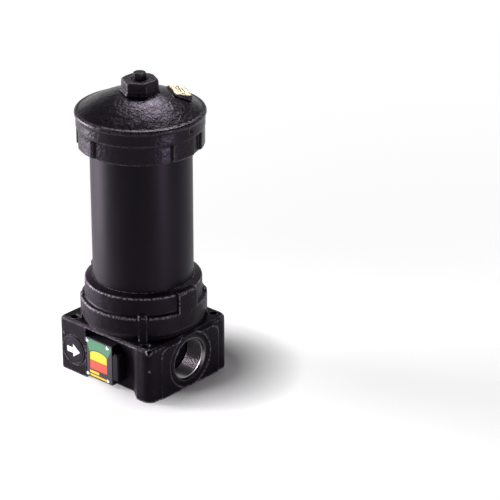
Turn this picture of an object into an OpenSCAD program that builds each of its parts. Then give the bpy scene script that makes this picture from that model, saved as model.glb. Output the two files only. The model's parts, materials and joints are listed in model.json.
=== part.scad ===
// High pressure inline oil filter: side-ported cast base, steel tube and screw-on cover.
// Origin at the middle of the base's underside, ports along X, indicator on the -Y face.

/* [Base block] */
// Length between the two port faces
block_l = 145; // [138:1:150]
// Width between the two plain faces
block_w = 131; // [127:1:136]
// Height of the rectangular block
block_h = 66; // [65:1:72]
// Radius of the two upright corners on the +X side
corner_r = 12; // [9:1:13]
// Radius of the two upright corners on the -X side
sharp_r = 4; // [3.5:0.1:5]
// How far each port pad stands proud of the corner posts
pad_proud = 1.5; // [1:0.25:2.5]
// Width of the port pads
pad_w = 94.6; // [88:0.2:100]
// Radius of the port pads' upper corners
pad_corner_r = 11; // [6:1:14]
// How far the pads' upper edge stays below the block's top
pad_drop = 4.2; // [3.6:0.2:5]
// Chamfer round the block's upper edge
block_chamfer = 2.5; // [1.5:0.25:3]
// Distance between the fixing holes along the length
fix_x = 111; // [108:1:116]
// Distance between the fixing holes along the width
fix_y = 112; // [108:1:114]
// Diameter of the four fixing holes
fix_d = 9; // [6.6:0.1:10]
// Chamfer at the mouth of each fixing hole
fix_chamfer = 1; // [0.5:0.1:1.6]

// Diameter of the round eye on the front right corner
eye_d = 8; // [6:0.5:9]
// Diameter of the small cast pips on the front
pip_d = 3; // [2:0.5:4]
// How far the eye and the pips stand proud
pip_proud = 0.8; // [0.5:0.1:1.2]

/* [Ports] */
// Height of the port axis above the base
port_z = 33; // [32.5:0.5:34]
// Bore of the port threads
port_d = 47.8; // [44:0.1:48.4]
// Depth of the port threads
port_depth = 26; // [22:1:27]
// Mouth of the ports, at their seal chamfer
mouth_d = 50.8; // [49:0.2:53]
// Depth of the seal chamfer
mouth_t = 3.2; // [2:0.2:5]
// Diameter of the machined face round each port
spotface_d = 64.4; // [58:0.2:64.8]
// Depth of that machined face
spotface_t = 1.6; // [0.8:0.1:2]
// Bore of the inner flow passages
passage_d = 26; // [20:1:28]

/* [Indicator recess] */
// Where the recess starts on the left of the axis
recess_left = 29.5; // [29:0.25:30.5]
// Where the recess ends in the -Y face on the right of the axis
recess_right = 50; // [46:0.5:51]
// Depth of the recess in the -Y face
recess_depth = 12; // [11.5:0.5:14]
// Thickness of the ledge over the recess
recess_ledge = 4; // [2.5:0.5:5]
// How far the recess's right wall slants along the face
recess_slant = 16; // [10:1:20]

/* [Collar] */
// Diameter of the collar's wide ring
ring_d = 143.2; // [141:0.2:148]
// Height of the curved underside between block and wide ring
ring_rise = 11; // [9:1:13]
// Height of the wide ring's upright wall
ring_h = 16; // [13:1:20]
// Diameter of the collar's upper ring
collar_d = 133.6; // [130:0.2:138]
// Height of the upper ring
collar_h = 21.4; // [18:0.2:26]
// Rise of the collar's sloping top towards the tube
collar_crown = 4; // [2:0.5:6]
// Width of the ribs on the four corners
rib_deg = 8; // [6:0.5:12]
// Direction of those ribs, measured from the port axis
rib_dir = 47; // [42:1:50]
// Width of the flow bosses above the two ports
boss_deg = 24; // [20:1:32]
// How far the flow bosses rise above the collar's edge
boss_rise = 2; // [1:0.5:3]

/* [Inside the base] */
// Diameter of the chamber round the element's stub
chamber_d = 76; // [73:1:79]
// Thickness of the chamber's floor
floor_t = 9; // [7:0.5:10]
// Diameter of the stub that carries the element
stub_d = 35; // [33:0.5:36]
// Diameter of the shoulder that the element sits on
stub_shoulder_d = 42; // [40:0.5:45]
// Depth of the stub inside the element
stub_engage = 16; // [13:1:20]
// Wall of the outlet pipe that crosses the chamber
pipe_wall = 6; // [5:0.5:7]
// Wall of the stub
stub_wall = 5; // [4:0.5:5.5]
// Height of the seal groove above the tube's foot
groove_up = 6; // [5:0.5:8]

/* [Tube] */
// Outer diameter of the housing tube
tube_d = 114.3; // [114:0.1:115]
// Wall of the housing tube
tube_wall = 7.1; // [6.4:0.1:7.4]
// Length of the housing tube
tube_len = 236.7; // [228:0.1:250]
// How deep the tube sits in the collar
tube_seat = 43; // [38:1:44]
// Length of the thread under the cover
thread_len = 24; // [22:1:26]
// Depth of that thread
thread_depth = 1.35; // [1:0.05:1.6]
// Length of the plain pilot above the thread
pilot_len = 10.5; // [10:0.5:12]
// How much smaller the pilot's radius is than the tube's
pilot_step = 2.15; // [1.9:0.05:2.4]

/* [Cover] */
// Diameter of the cover's lower band
band_d = 134.2; // [131:0.2:138]
// Height of the lower band
band_h = 23; // [20:1:26]
// Diameter of the cover's rim
rim_d = 143.2; // [141:0.2:144.8]
// Height of the rim
rim_h = 19.6; // [18:0.2:24]
// Diameter of the lip at the rim's top
lip_d = 146.2; // [145.4:0.2:148]
// Height of the lip
lip_h = 4.4; // [3.6:0.2:6]
// Width of the lip's round bead
lip_w = 3.2; // [2.8:0.2:4]
// Width of the round over the bead's outer edge
lip_round_w = 2.6; // [1.6:0.2:2.8]
// Height of that round
lip_round_h = 3; // [2:0.2:3.4]
// Width of the groove between the bead and the dome
groove_w = 1.6; // [1:0.1:2.4]
// Depth of that groove
groove_t = 1.4; // [0.8:0.1:1.8]
// Width of the outer wrench lugs
lug_deg = 26.5; // [20:0.5:28]
// Width of the wrench lug between two outer ones
lug_mid_deg = 22; // [16:0.5:24]
// Angle from one lug of a group to the next
lug_step = 37.5; // [34:0.5:42]
// Direction of the first group of lugs
lug_dir = 34.5; // [25:0.5:45]
// How far the tube's end stays below the rim's top
roof_drop = 3.7; // [3.5:0.1:6]
// Rise of the dome above the rim
dome_rise = 19.3; // [15:0.1:23]
// Wall of the dome
dome_wall = 10; // [8:0.5:12]
// Fullness of the dome's curve
dome_power = 1.4; // [1.2:0.1:2.2]
// Width across the flats of the cast hexagon
hex_af = 36.7; // [34:0.1:40]
// Height of the cast hexagon
hex_h = 15; // [13:0.2:19]
// Direction of the cast hexagon's first corner
hex_dir = 34; // [0:1:59]
// Width of the small step round the hexagon's foot
hex_foot = 1.5; // [1:0.25:2.5]
// Length of the spring's spigot under the dome
spigot_len = 7; // [5:0.5:9]

/* [Nameplate] */
// Length of the nameplate
plate_l = 28; // [26:1:32]
// Height of the nameplate
plate_w = 18.5; // [15:0.5:19]
// Thickness of the nameplate
plate_t = 0.8; // [0.5:0.1:1.2]
// Direction of the nameplate's pad round the dome
plate_deg = 58; // [50:1:70]
// Distance of the pad's middle from the rim's wall
plate_in = 26.4; // [23:0.2:27]
// Tilt of the pad, outwards and down
plate_tilt = 12; // [4:1:14]
// Turn of the plate about its own pad
plate_turn = 1; // [-20:1:20]
// Rise of the pad's middle above the dome
plate_rise = 3.4; // [3:0.2:4]
// Diameter of the two drive rivets
rivet_d = 2.4; // [1.8:0.1:3]

/* [Vent plug] */
// Width across the flats of the plug's head
vent_af = 13; // [11:0.5:15]
// Height of the head's hexagon
vent_head = 6.4; // [5:0.2:8]
// Diameter of the head's flange
vent_flange_d = 16; // [15:0.2:18]
// Thickness of the flange
vent_flange_t = 1.4; // [1:0.1:2]
// Diameter of the plug's thread
vent_d = 12; // [10:0.5:12]
// Length of the plug's thread
vent_len = 12; // [10:0.5:14]
// Diameter of the vent hole below the plug
vent_hole_d = 4; // [3:0.25:5]
// Thickness of the plug's seal ring
vent_seal_t = 1; // [0.8:0.1:1.4]
// Depth of the seat round the plug
vent_seat_t = 2.2; // [1.6:0.1:2.6]
// Gap round the flange in its seat
vent_seat_gap = 1.8; // [0.8:0.1:2.2]

/* [Lock screw] */
// Diameter of the lock screw in the rim
lock_d = 5; // [4:0.5:6]
// Height of the lock screw above the rim's lower edge
lock_up = 9; // [8:0.5:10]
// Direction of the lock screw
lock_dir = 4.5; // [0:0.5:8]
// Depth of its outer end below the rim
lock_sunk = 0.8; // [0.4:0.1:1.5]

/* [Filter element] */
// Length of the element over its end caps
element_len = 204; // [194:1:210]
// Height of the element's foot above the tube's foot
element_up = 6; // [5:0.5:7]
// Diameter of the element's end caps
element_d = 88; // [84:1:90]
// Wall of the sleeve round the stub
hub_wall = 3.55; // [3.2:0.05:3.6]
// Thickness of the end caps
end_t = 3; // [2:0.5:4]
// Height of the end caps' skirts
skirt_h = 8; // [6:1:12]
// Wall of the skirts
skirt_t = 1.2; // [0.8:0.1:1.6]
// Outer diameter of the pleats
pleat_d = 84.4; // [80:0.2:85]
// Inner diameter of the pleats
pleat_core_d = 48; // [47:0.5:52]
// Number of pleats
pleats = 36; // [28:2:44]
// Depth of the fold, measured along the radius
fold_t = 3.4; // [2.4:0.2:4]
// Outer diameter of the perforated core
core_d = 46; // [44:0.5:46.5]
// Wall of the perforated core
core_wall = 1.5; // [1:0.1:2]
// Diameter of the core's holes
core_hole_d = 6; // [4:0.5:8]
// Rows of holes
core_rows = 9; // [6:1:10]
// Plain length of the core at each end
core_end = 12; // [10:1:16]
// Mean diameter of the element's hold-down spring
spring_d = 32; // [30:0.5:33]
// Wire of that spring
spring_wire = 3.2; // [2.4:0.2:3.6]
// Turns of that spring
spring_turns = 6; // [5:1:7]

/* [Bypass valve] */
// Bore of the bypass seat
seat_d = 17; // [14:0.5:18]
// Diameter of the valve disc
poppet_d = 20.4; // [19.6:0.2:21]
// Thickness of the valve disc
poppet_t = 3; // [2.4:0.2:4]
// Diameter of the valve's stem
stem_d = 5; // [4:0.5:6]
// How far the stem stands out of the cage
stem_out = 1; // [0.5:0.5:2]
// Outer diameter of the valve's cage
cage_d = 27; // [26:0.5:30]
// Wall of the cage
cage_wall = 2; // [1.6:0.2:2.4]
// Length of the cage
cage_len = 32; // [29:1:38]
// Wire of the valve's spring
bypass_wire = 1.4; // [1:0.1:1.6]
// Turns of the valve's spring
bypass_turns = 7; // [6:1:8]

/* [Indicator] */
// Width of the label plate
label_w = 40; // [38:0.5:41]
// Height of the label plate
label_h = 49; // [46:0.5:50]
// Thickness of the label plate
label_t = 1.4; // [1:0.1:2]
// Height of the label plate's lower edge above the base
label_z = 3.5; // [3:0.5:5]
// Width of the piston housing beside the label
side_w = 10; // [9.5:0.25:12]
// Height of the piston housing
side_h = 31; // [30:0.5:35]
// Height of its lower edge above the label's lower edge
side_up = 8; // [6:0.5:9]
// Distance between the label's screws across the plate
screw_x = 32; // [30:0.5:34]
// Distance between the label's screws up the plate
screw_z = 41.6; // [38:0.2:43]
// How far the screws stand left of the plate's middle
screw_aside = 2.3; // [0:0.1:3]
// How deep the screws bite into the indicator's body
screw_bite = 5; // [4:0.5:6]
// Diameter of the screw heads
screw_head_d = 4.2; // [3.6:0.1:5]
// Diameter of the indicator's piston bore
piston_bore = 6.8; // [6:0.1:7]
// Length of the indicator's piston
piston_len = 10; // [8:0.5:12]
// Length of the indicator's spring
ind_spring_len = 12.7; // [11:0.1:13]
// Wall below the piston's spring
piston_wall = 3; // [2.5:0.5:4]
// Gap between the label plate and the recess's left wall
ind_side_gap = 1.2; // [0.8:0.1:1.6]
// How far the label plate stays behind the -Y face
ind_sunk = 0.3; // [0:0.1:0.5]
// Thickness of the gasket behind the indicator
gasket_t = 0.8; // [0.5:0.1:1.2]
// Height of the drillings above and below the piston housing's ends
sense_in = 4; // [3:0.5:6]
// Diameter of the drillings that sense the pressure
sense_d = 3; // [2:0.5:4]

/* [Side disc] */
// Diameter of the round disc beside the indicator
disc_d = 34.6; // [32:0.2:35]
// How far the disc stands proud
disc_proud = 1; // [0.6:0.1:1.4]
// Depth of the disc's seat
disc_seat = 1.6; // [1:0.1:2]
// Distance of the disc's middle from the block's end
disc_in = 23.9; // [23.6:0.1:24.1]
// Height of the disc's middle above the base
disc_z = 28.5; // [27:0.5:31]

/* [Seals] */
// Section of the large sealing rings
seal_wire = 2.6; // [2.4:0.1:2.8]
// Section of the element's sealing ring
stub_seal_wire = 2; // [1.8:0.1:2.4]

/* [Fits] */
// Gap between pieces that slide or turn on each other
run_gap = 0.3; // [0.25:0.05:0.4]
// Gap round screws and pistons, on the radius
fit_gap = 0.08; // [0.05:0.01:0.1]
// Gap between pieces that are screwed or pushed together
seat_gap = 0.15; // [0.1:0.05:0.2]

/* [Hidden] */

ARC = 96;
SMALL = 48;
over = 0.5;

ring_r = ring_d / 2;
ring_z0 = block_h + ring_rise;
ring_z1 = ring_z0 + ring_h;
collar_r = collar_d / 2;
shoulder_h = (ring_r - collar_r) / 2;
collar_z = ring_z1 + shoulder_h + collar_h;
collar_top = collar_z + collar_crown;

tube_r = tube_d / 2;
bore_r = tube_r - tube_wall;
tube_z0 = collar_top - tube_seat;
tube_z1 = tube_z0 + tube_len;
thread_r = tube_r - thread_depth;
pilot_r = tube_r - pilot_step;
pilot_z0 = tube_z1 - pilot_len;
thread_z0 = pilot_z0 - thread_len;

roof_z = tube_z1 + run_gap;
band_r = band_d / 2;
rim_r = rim_d / 2;
lip_r = lip_d / 2;
skirt_len = band_h + rim_h - roof_drop;
cap_z0 = roof_z - skirt_len;
rim_z0 = cap_z0 + band_h;
rim_z1 = rim_z0 + rim_h;
dome_r = lip_r - lip_w - groove_w;
hex_r = hex_af / 2 / cos(30);
dome_z = rim_z1 + dome_rise;
hex_z1 = dome_z + hex_h;
ceiling_r = spring_d / 2 + spring_wire / 2 + 3;
ceiling_z = dome_z - dome_wall;
female_r = tube_r + run_gap;
female_z1 = pilot_z0 + run_gap;
pilot_bore_r = pilot_r + run_gap;

cap_groove_h = seal_wire + 2 * run_gap;
cap_groove_z = roof_z - 2 - cap_groove_h / 2;
tube_groove_z = tube_z0 + groove_up;

vent_seat_z = hex_z1 - vent_seat_t;
vent_seal_z = vent_seat_z + run_gap;
vent_flange_z = vent_seal_z + vent_seal_t + run_gap;
vent_head_z = vent_flange_z + vent_flange_t;

lock_z = rim_z0 + lock_up;
lock_in = female_r + 0.5;

post_x = block_l / 2;
post_y = block_w / 2;
disc_x = post_x - disc_in;
recess_y = -post_y + recess_depth;
chamber_r = chamber_d / 2;
rib_root_r = bore_r;
pipe_r = passage_d / 2 + pipe_wall;
stub_r = stub_d / 2;
stub_bore_r = stub_r - stub_wall;
element_z0 = tube_z0 + element_up;
element_z1 = element_z0 + element_len;
element_r = element_d / 2;
stub_top = element_z0 + stub_engage;
hub_r = stub_r + seat_gap + hub_wall;
stub_seal_z = element_z0 + stub_engage / 2;
media_z0 = element_z0 + end_t;
media_z1 = element_z1 - end_t;

seat_z = element_z1 - end_t;
cage_r = cage_d / 2;
cage_in_r = cage_r - cage_wall;
cage_z0 = seat_z - cage_len;
cage_floor_t = 2;
poppet_z1 = seat_z - run_gap;
poppet_z0 = poppet_z1 - poppet_t;
stem_z0 = cage_z0 - stem_out;

ind_x0 = -recess_left + ind_side_gap;
ind_x1 = ind_x0 + label_w;
side_x1 = ind_x1 + side_w;
ind_front = -post_y + ind_sunk;
ind_back = recess_y - gasket_t;
label_back = ind_front + label_t;
side_z0 = label_z + side_up;
side_z1 = side_z0 + side_h;
label_mid_x = (ind_x0 + ind_x1) / 2;
label_mid_z = label_z + label_h / 2;
piston_r = piston_bore / 2 - fit_gap;
piston_x = ind_x1 + side_w / 2;
piston_y = (ind_front + ind_back) / 2;
piston_floor = side_z0 + piston_wall;
piston_z0 = piston_floor + ind_spring_len + run_gap;
plug_z0 = piston_z0 + piston_len + 1;
plug_proud = 1.6;

plate_r = rim_r - plate_in;
plate_top_z = dome_height(plate_r) + plate_rise;

// Height of the dome's outer surface at a distance from the axis
function dome_height(r) =
    rim_z1 + dome_rise * (1 - pow(max(0, r - hex_r) / (dome_r - hex_r), dome_power));

// Points on a circle's arc in the profile plane
function arc_points(cx, cy, rx, ry, a0, a1, n) =
    [for (i = [0:n]) let (a = a0 + (a1 - a0) * i / n) [cx + rx * cos(a), cy + ry * sin(a)]];

// Height along a coil spring whose first and last turns lie flat
function coil_z(t, turns, flat, pitch) =
    t < 1 ? t * flat :
    t > turns - 1 ? flat + (turns - 2) * pitch + (t - turns + 1) * flat :
    flat + (t - 1) * pitch;

// Coil spring of round wire between two heights
module coil_spring(mean_r, wire_r, z0, z1, turns, steps, sides) {
    flat = 2.1 * wire_r;
    pitch = (z1 - z0 - 2 * wire_r - 2 * flat) / (turns - 2);
    count = turns * steps;
    rise = pitch / (2 * PI * mean_r);
    points = [for (i = [0:count]) let (
            t = i / steps,
            a = 360 * t,
            z = z0 + wire_r + coil_z(t, turns, flat, pitch),
            k = 1 / sqrt(1 + rise * rise),
            m = rise * k)
        for (j = [0:sides - 1]) let (
            b = 360 * j / sides,
            r = mean_r + wire_r * cos(b))
        [r * cos(a) - wire_r * sin(b) * m * sin(a),
            r * sin(a) + wire_r * sin(b) * m * cos(a),
            z - wire_r * sin(b) * k]];
    walls = [for (i = [0:count - 1]) for (j = [0:sides - 1]) let (n = (j + 1) % sides)
        [i * sides + j, (i + 1) * sides + j, (i + 1) * sides + n, i * sides + n]];
    start = [for (j = [0:sides - 1]) j];
    finish = [for (j = [sides - 1:-1:0]) count * sides + j];
    polyhedron(points = points, faces = concat(walls, [start], [finish]));
}

// Ring of round section
module seal_ring(mean_r, wire, z) {
    translate([0, 0, z])
        rotate_extrude($fn = ARC)
            translate([mean_r, 0])
                circle(d = wire, $fn = 24);
}

// Part of a turned shape, centred on one direction
module sector(direction, width) {
    rotate([0, 0, direction - width / 2])
        rotate_extrude(angle = width, $fn = ARC)
            children();
}

// Rectangle with four round corners, built from straight and round pieces
module round_plan(length, width, r) {
    square([length - 2 * r, width], center = true);
    square([length, width - 2 * r], center = true);
    for (sx = [-1, 1], sy = [-1, 1])
        translate([sx * (length / 2 - r), sy * (width / 2 - r)])
            circle(r = r, $fn = SMALL);
}

// Upright post with a chamfered top, for one corner of the block
module corner_post(height, r) {
    cylinder(h = height - block_chamfer, r = r, $fn = SMALL);
    translate([0, 0, height - block_chamfer])
        cylinder(h = block_chamfer, r1 = r, r2 = r - block_chamfer, $fn = SMALL);
}

// The block's half on the +X side, with round corners and a chamfered upper edge
module half_block(r) {
    half_l = block_l / 2 - pad_proud;
    edge_z = block_h - block_chamfer;
    rotate([90, 0, 90])
        linear_extrude(half_l - r)
            polygon([[-post_y, 0], [post_y, 0], [post_y, edge_z],
                [post_y - block_chamfer, block_h], [-post_y + block_chamfer, block_h],
                [-post_y, edge_z]]);
    rotate([90, 0, 0])
        translate([0, 0, -post_y + r])
            linear_extrude(2 * (post_y - r))
                polygon([[-over, 0], [half_l, 0], [half_l, edge_z],
                    [half_l - block_chamfer, block_h], [-over, block_h]]);
    for (s = [-1, 1])
        translate([half_l - r, s * (post_y - r), 0])
            corner_post(block_h, r);
}

// The rectangular block, rounder on its +X side
module block_solid() {
    half_block(corner_r);
    mirror([1, 0, 0])
        half_block(sharp_r);
}

// Raised pad on a port face, with round upper corners
module port_pad() {
    top = block_h - pad_drop;
    rotate([90, 0, 90])
        translate([0, 0, post_x - pad_proud - over])
            linear_extrude(pad_proud + over) {
                translate([-pad_w / 2, 0])
                    square([pad_w, top - pad_corner_r]);
                translate([-pad_w / 2 + pad_corner_r, 0])
                    square([pad_w - 2 * pad_corner_r, top]);
                for (s = [-1, 1])
                    translate([s * (pad_w / 2 - pad_corner_r), top - pad_corner_r])
                        circle(r = pad_corner_r, $fn = SMALL);
            }
}

// Outer form of the collar that rises from the block to the tube
module collar_solid() {
    foot_r = ring_r - ring_rise;
    foot_sweep = 72;
    round_start = 15;
    rotate_extrude($fn = ARC)
        polygon(concat(
            [[0, block_h - 12], [foot_r, block_h - 12], [foot_r, block_h]],
            arc_points(foot_r, ring_z0, ring_rise, ring_rise, -foot_sweep, 0, 6),
            [[ring_r, ring_z1]],
            arc_points(ring_r - shoulder_h, ring_z1, shoulder_h, shoulder_h,
                round_start, 90, 4),
            [[collar_r, ring_z1 + shoulder_h + 1], [collar_r, collar_z],
                [tube_r + 1, collar_top], [0, collar_top]]));
}

// Rib on a corner of the collar, from the shelf to just above the wide ring
module corner_rib(direction) {
    rib_r = ring_r + 0.6;
    rib_z1 = ring_z1 + shoulder_h + 3;
    sector(direction, rib_deg)
        polygon([[rib_root_r, block_h - 2], [rib_r, block_h - 2], [rib_r, rib_z1 - 2.5],
            [rib_r - 2.5, rib_z1], [rib_root_r, rib_z1]]);
}

// Flow boss above a port, level with the wide ring
module flow_boss(direction) {
    sector(direction, boss_deg)
        polygon([[rib_root_r, ring_z0 - 2], [ring_r, ring_z0 - 2],
            [ring_r, collar_z + boss_rise - 1.5], [ring_r - 1.5, collar_z + boss_rise],
            [rib_root_r, collar_z + boss_rise]]);
}

// Pocket in the -Y face for the indicator, open at the bottom
module indicator_recess() {
    top = block_h - recess_ledge;
    translate([0, 0, -over])
        linear_extrude(top + over)
            polygon([[-recess_left, -post_y - over], [recess_right, -post_y - over],
                [recess_right, -post_y], [recess_right - recess_slant, recess_y],
                [-recess_left, recess_y]]);
}

// Threaded port with its seal chamfer and machined face, on the +X side
module port_cut() {
    translate([0, 0, port_z])
        rotate([0, 90, 0]) {
            translate([0, 0, post_x - spotface_t])
                cylinder(h = spotface_t + over, d = spotface_d, $fn = ARC);
            translate([0, 0, post_x - spotface_t - mouth_t])
                cylinder(h = mouth_t, d1 = port_d, d2 = mouth_d, $fn = ARC);
            translate([0, 0, post_x - spotface_t - mouth_t - port_depth])
                cylinder(h = port_depth + over, d = port_d, $fn = ARC);
        }
}

// Hollow inside the base: chamber, tube socket and seal groove
module base_hollow() {
    translate([0, 0, floor_t])
        cylinder(h = tube_z0 - floor_t + over, r = chamber_r, $fn = ARC);
    translate([0, 0, tube_z0 - 4])
        cylinder(h = 4 + over, r1 = chamber_r, r2 = bore_r, $fn = ARC);
    translate([0, 0, tube_z0])
        cylinder(h = tube_seat + over, r = tube_r + seat_gap, $fn = ARC);
    translate([0, 0, tube_groove_z - seal_wire / 2 - seat_gap])
        cylinder(h = seal_wire + 2 * seat_gap,
            r = tube_r + seal_wire + 3 * seat_gap, $fn = ARC);
}

// Stub and crossing pipe that lead the clean oil to the outlet
module outlet_stub() {
    translate([0, 0, floor_t - over])
        cylinder(h = element_z0 - floor_t + over, d = stub_shoulder_d, $fn = ARC);
    translate([0, 0, floor_t])
        cylinder(h = stub_top - floor_t, r = stub_r, $fn = ARC);
    translate([0, 0, port_z])
        rotate([0, 90, 0])
            cylinder(h = chamber_r + over, r = pipe_r, $fn = ARC);
}

// Bores of the outlet: up through the stub and across to the port
module outlet_bores() {
    translate([0, 0, port_z])
        cylinder(h = stub_top - port_z + over, r = stub_bore_r, $fn = ARC);
    translate([0, 0, port_z])
        rotate([0, 90, 0])
            cylinder(h = post_x - port_depth, d = passage_d, $fn = ARC);
}

// Opening from the inlet port into the chamber
module inlet_bore() {
    translate([-post_x + port_depth - 2, 0, port_z])
        rotate([0, 90, 0])
            cylinder(h = post_x - port_depth - stub_shoulder_d / 2 - 6,
                d = passage_d + 6, $fn = ARC);
}

// Four fixing holes through the corner posts, with chamfered mouths
module fixing_holes() {
    for (sx = [-1, 1], sy = [-1, 1])
        translate([sx * fix_x / 2, sy * fix_y / 2, 0]) {
            translate([0, 0, -over])
                cylinder(h = block_h + 2 * over, d = fix_d, $fn = SMALL);
            translate([0, 0, block_h - fix_chamfer])
                cylinder(h = fix_chamfer + 0.01, d1 = fix_d,
                    d2 = fix_d + 2 * fix_chamfer, $fn = SMALL);
        }
}

// Small drillings from the indicator's face to the chamber
module sense_drillings() {
    for (z = [side_z0 + sense_in, side_z1 - sense_in])
        translate([label_mid_x, recess_y - over, z])
            rotate([-90, 0, 0])
                cylinder(h = -recess_y - chamber_r + 6, d = sense_d, $fn = SMALL);
}

// Cylinder on the slanting edge of the +X, -Y corner; it looks outwards and up
module corner_eye(r, out) {
    middle = corner_r * cos(45);
    translate([post_x - pad_proud - corner_r + middle, -post_y + corner_r - middle,
        block_h - block_chamfer])
        rotate([0, 0, -45])
            rotate([0, 50, 0])
                translate([0, 0, -2.5])
                    cylinder(h = 2.5 + out, r = r, $fn = SMALL);
}

// Small cast pips: one on the -Y face, one on the +X, -Y corner
module cast_pips() {
    translate([-post_x + 8, -post_y, disc_z + disc_d / 2])
        rotate([90, 0, 0])
            translate([0, 0, -1])
                cylinder(h = 1 + pip_proud, d = pip_d, $fn = 24);
    translate([post_x - pad_proud - corner_r, -post_y + corner_r, block_h * 0.6])
        rotate([90, 0, 45])
            cylinder(h = corner_r + pip_proud, d = pip_d, $fn = 24);
}

module base_head() {
    color("#2c2a31")
        difference() {
            union() {
                difference() {
                    union() {
                        block_solid();
                        port_pad();
                        mirror([1, 0, 0])
                            port_pad();
                        collar_solid();
                        for (a = [0, 180], s = [-1, 1])
                            corner_rib(a + s * rib_dir);
                        for (a = [0, 180])
                            flow_boss(a);
                        corner_eye(eye_d / 2, pip_proud);
                        cast_pips();
                    }
                    indicator_recess();
                    base_hollow();
                }
                outlet_stub();
            }
            port_cut();
            mirror([1, 0, 0])
                port_cut();
            outlet_bores();
            inlet_bore();
            fixing_holes();
            sense_drillings();
            translate([-disc_x, -post_y - over, disc_z])
                rotate([-90, 0, 0])
                    cylinder(h = disc_seat + over, d = disc_d + 2 * seat_gap, $fn = ARC);
            corner_eye(eye_d / 2 - 2, 2 * pip_proud);
        }
}

module housing_tube() {
    color("#35333b")
        rotate_extrude($fn = ARC)
            polygon([[bore_r, tube_z0], [tube_r - 1, tube_z0], [tube_r, tube_z0 + 1],
                [tube_r, thread_z0 - 1], [thread_r, thread_z0], [thread_r, pilot_z0],
                [pilot_r, pilot_z0], [pilot_r, tube_z1 - 1], [pilot_r - 1, tube_z1],
                [bore_r, tube_z1]]);
}

module tube_seal() {
    color("#151515")
        seal_ring(tube_r + seat_gap + seal_wire / 2, seal_wire, tube_groove_z);
}

// Turned form of the cover without its lugs and hexagon
module cap_shell() {
    groove_z = rim_z1 - groove_t;
    rotate_extrude($fn = ARC)
        polygon(concat(
            [[female_r + 1, cap_z0], [band_r - 0.8, cap_z0], [band_r, cap_z0 + 0.8],
                [band_r, rim_z0 - 1], [rim_r - 1, rim_z0], [rim_r, rim_z0 + 1],
                [rim_r, rim_z1 - lip_h - 1], [lip_r, rim_z1 - lip_h],
                [lip_r, rim_z1 - lip_round_h]],
            arc_points(lip_r - lip_round_w, rim_z1 - lip_round_h, lip_round_w, lip_round_h,
                15, 90, 5),
            [[lip_r - lip_w, rim_z1], [lip_r - lip_w, groove_z], [dome_r, groove_z]],
            [for (i = [0:12]) let (r = dome_r - (dome_r - hex_r + 1) * i / 12)
                [r, dome_height(r)]],
            [[0, dome_z], [0, ceiling_z], [ceiling_r, ceiling_z]],
            [for (i = [1:6]) let (r = ceiling_r + (bore_r - 2 - ceiling_r) * i / 6)
                [r, dome_height(r) - dome_wall]],
            [[bore_r - 2, roof_z], [pilot_bore_r, roof_z], [pilot_bore_r, female_z1],
                [female_r, female_z1], [female_r, cap_z0 + 1]]));
}

// Wrench lug that runs down the band, level with the rim
module cap_lug(direction, width) {
    lug_r = rim_r - 0.5;
    sector(direction, width)
        polygon([[band_r - 3, cap_z0 + 1.5], [lug_r - 1.5, cap_z0 + 1.5],
            [lug_r, cap_z0 + 3], [lug_r, rim_z0 + 2], [band_r - 3, rim_z0 + 2]]);
}

// Cast hexagon on top of the dome, with its foot and chamfered head
module cap_hex() {
    rotate([0, 0, hex_dir]) {
        translate([0, 0, dome_z - 6])
            cylinder(h = 8.4, r = hex_r + hex_foot, $fn = 6);
        translate([0, 0, dome_z])
            intersection() {
                cylinder(h = hex_h, r = hex_r, $fn = 6);
                cylinder(h = hex_h, r1 = hex_r + hex_h / 2 + 1, r2 = hex_af / 2 + 1.2,
                    $fn = ARC);
            }
    }
}

// Places its children on the nameplate's pad
module on_plate_pad() {
    rotate([0, 0, plate_deg])
        translate([plate_r, 0, plate_top_z])
            rotate([0, plate_tilt, 0])
                rotate([0, 0, plate_turn])
                    children();
}

// Raised pad for the nameplate
module plate_pad() {
    pad_h = 9;
    on_plate_pad()
        translate([0, 0, -pad_h])
            linear_extrude(pad_h)
                round_plan(plate_w + 3.5, plate_l + 3.5, 2.5);
}

module cap() {
    color("#2f2d34")
        difference() {
            union() {
                difference() {
                    union() {
                        cap_shell();
                        for (a = [lug_dir, lug_dir + 180]) {
                            cap_lug(a, lug_mid_deg);
                            cap_lug(a - lug_step, lug_deg);
                            cap_lug(a + lug_step, lug_deg);
                        }
                        plate_pad();
                    }
                    translate([0, 0, cap_groove_z - cap_groove_h / 2])
                        cylinder(h = cap_groove_h, r = pilot_r + seal_wire + 2 * run_gap,
                            $fn = ARC);
                }
                cap_hex();
                translate([0, 0, ceiling_z - spigot_len])
                    cylinder(h = spigot_len + over,
                        r = spring_d / 2 - spring_wire / 2 - 0.6, $fn = SMALL);
            }
            translate([0, 0, vent_seat_z])
                cylinder(h = vent_seat_t + over, r = vent_flange_d / 2 + vent_seat_gap,
                    $fn = SMALL);
            translate([0, 0, vent_seat_z - vent_len - 2])
                cylinder(h = vent_len + 2 + over, d = vent_d + 2 * fit_gap, $fn = SMALL);
            translate([0, 0, ceiling_z - spigot_len - over])
                cylinder(h = vent_seat_z - ceiling_z + spigot_len, d = vent_hole_d,
                    $fn = SMALL);
            translate([0, 0, lock_z])
                rotate([0, 90, lock_dir])
                    translate([0, 0, pilot_r])
                        cylinder(h = rim_r - pilot_r + over, d = lock_d + 2 * fit_gap,
                            $fn = SMALL);
            on_plate_pad()
                rivet_row(rivet_d + 2 * fit_gap, -3, 4);
        }
}

module cap_seal() {
    color("#151515")
        seal_ring(pilot_r + run_gap + seal_wire / 2, seal_wire, cap_groove_z);
}

// The two rivets' shanks or their holes, in the pad's own frame
module rivet_row(d, z, h) {
    for (s = [-1, 1])
        translate([0, s * (plate_l / 2 - 2.4), z])
            cylinder(h = h, d = d, $fn = 24);
}

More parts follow.
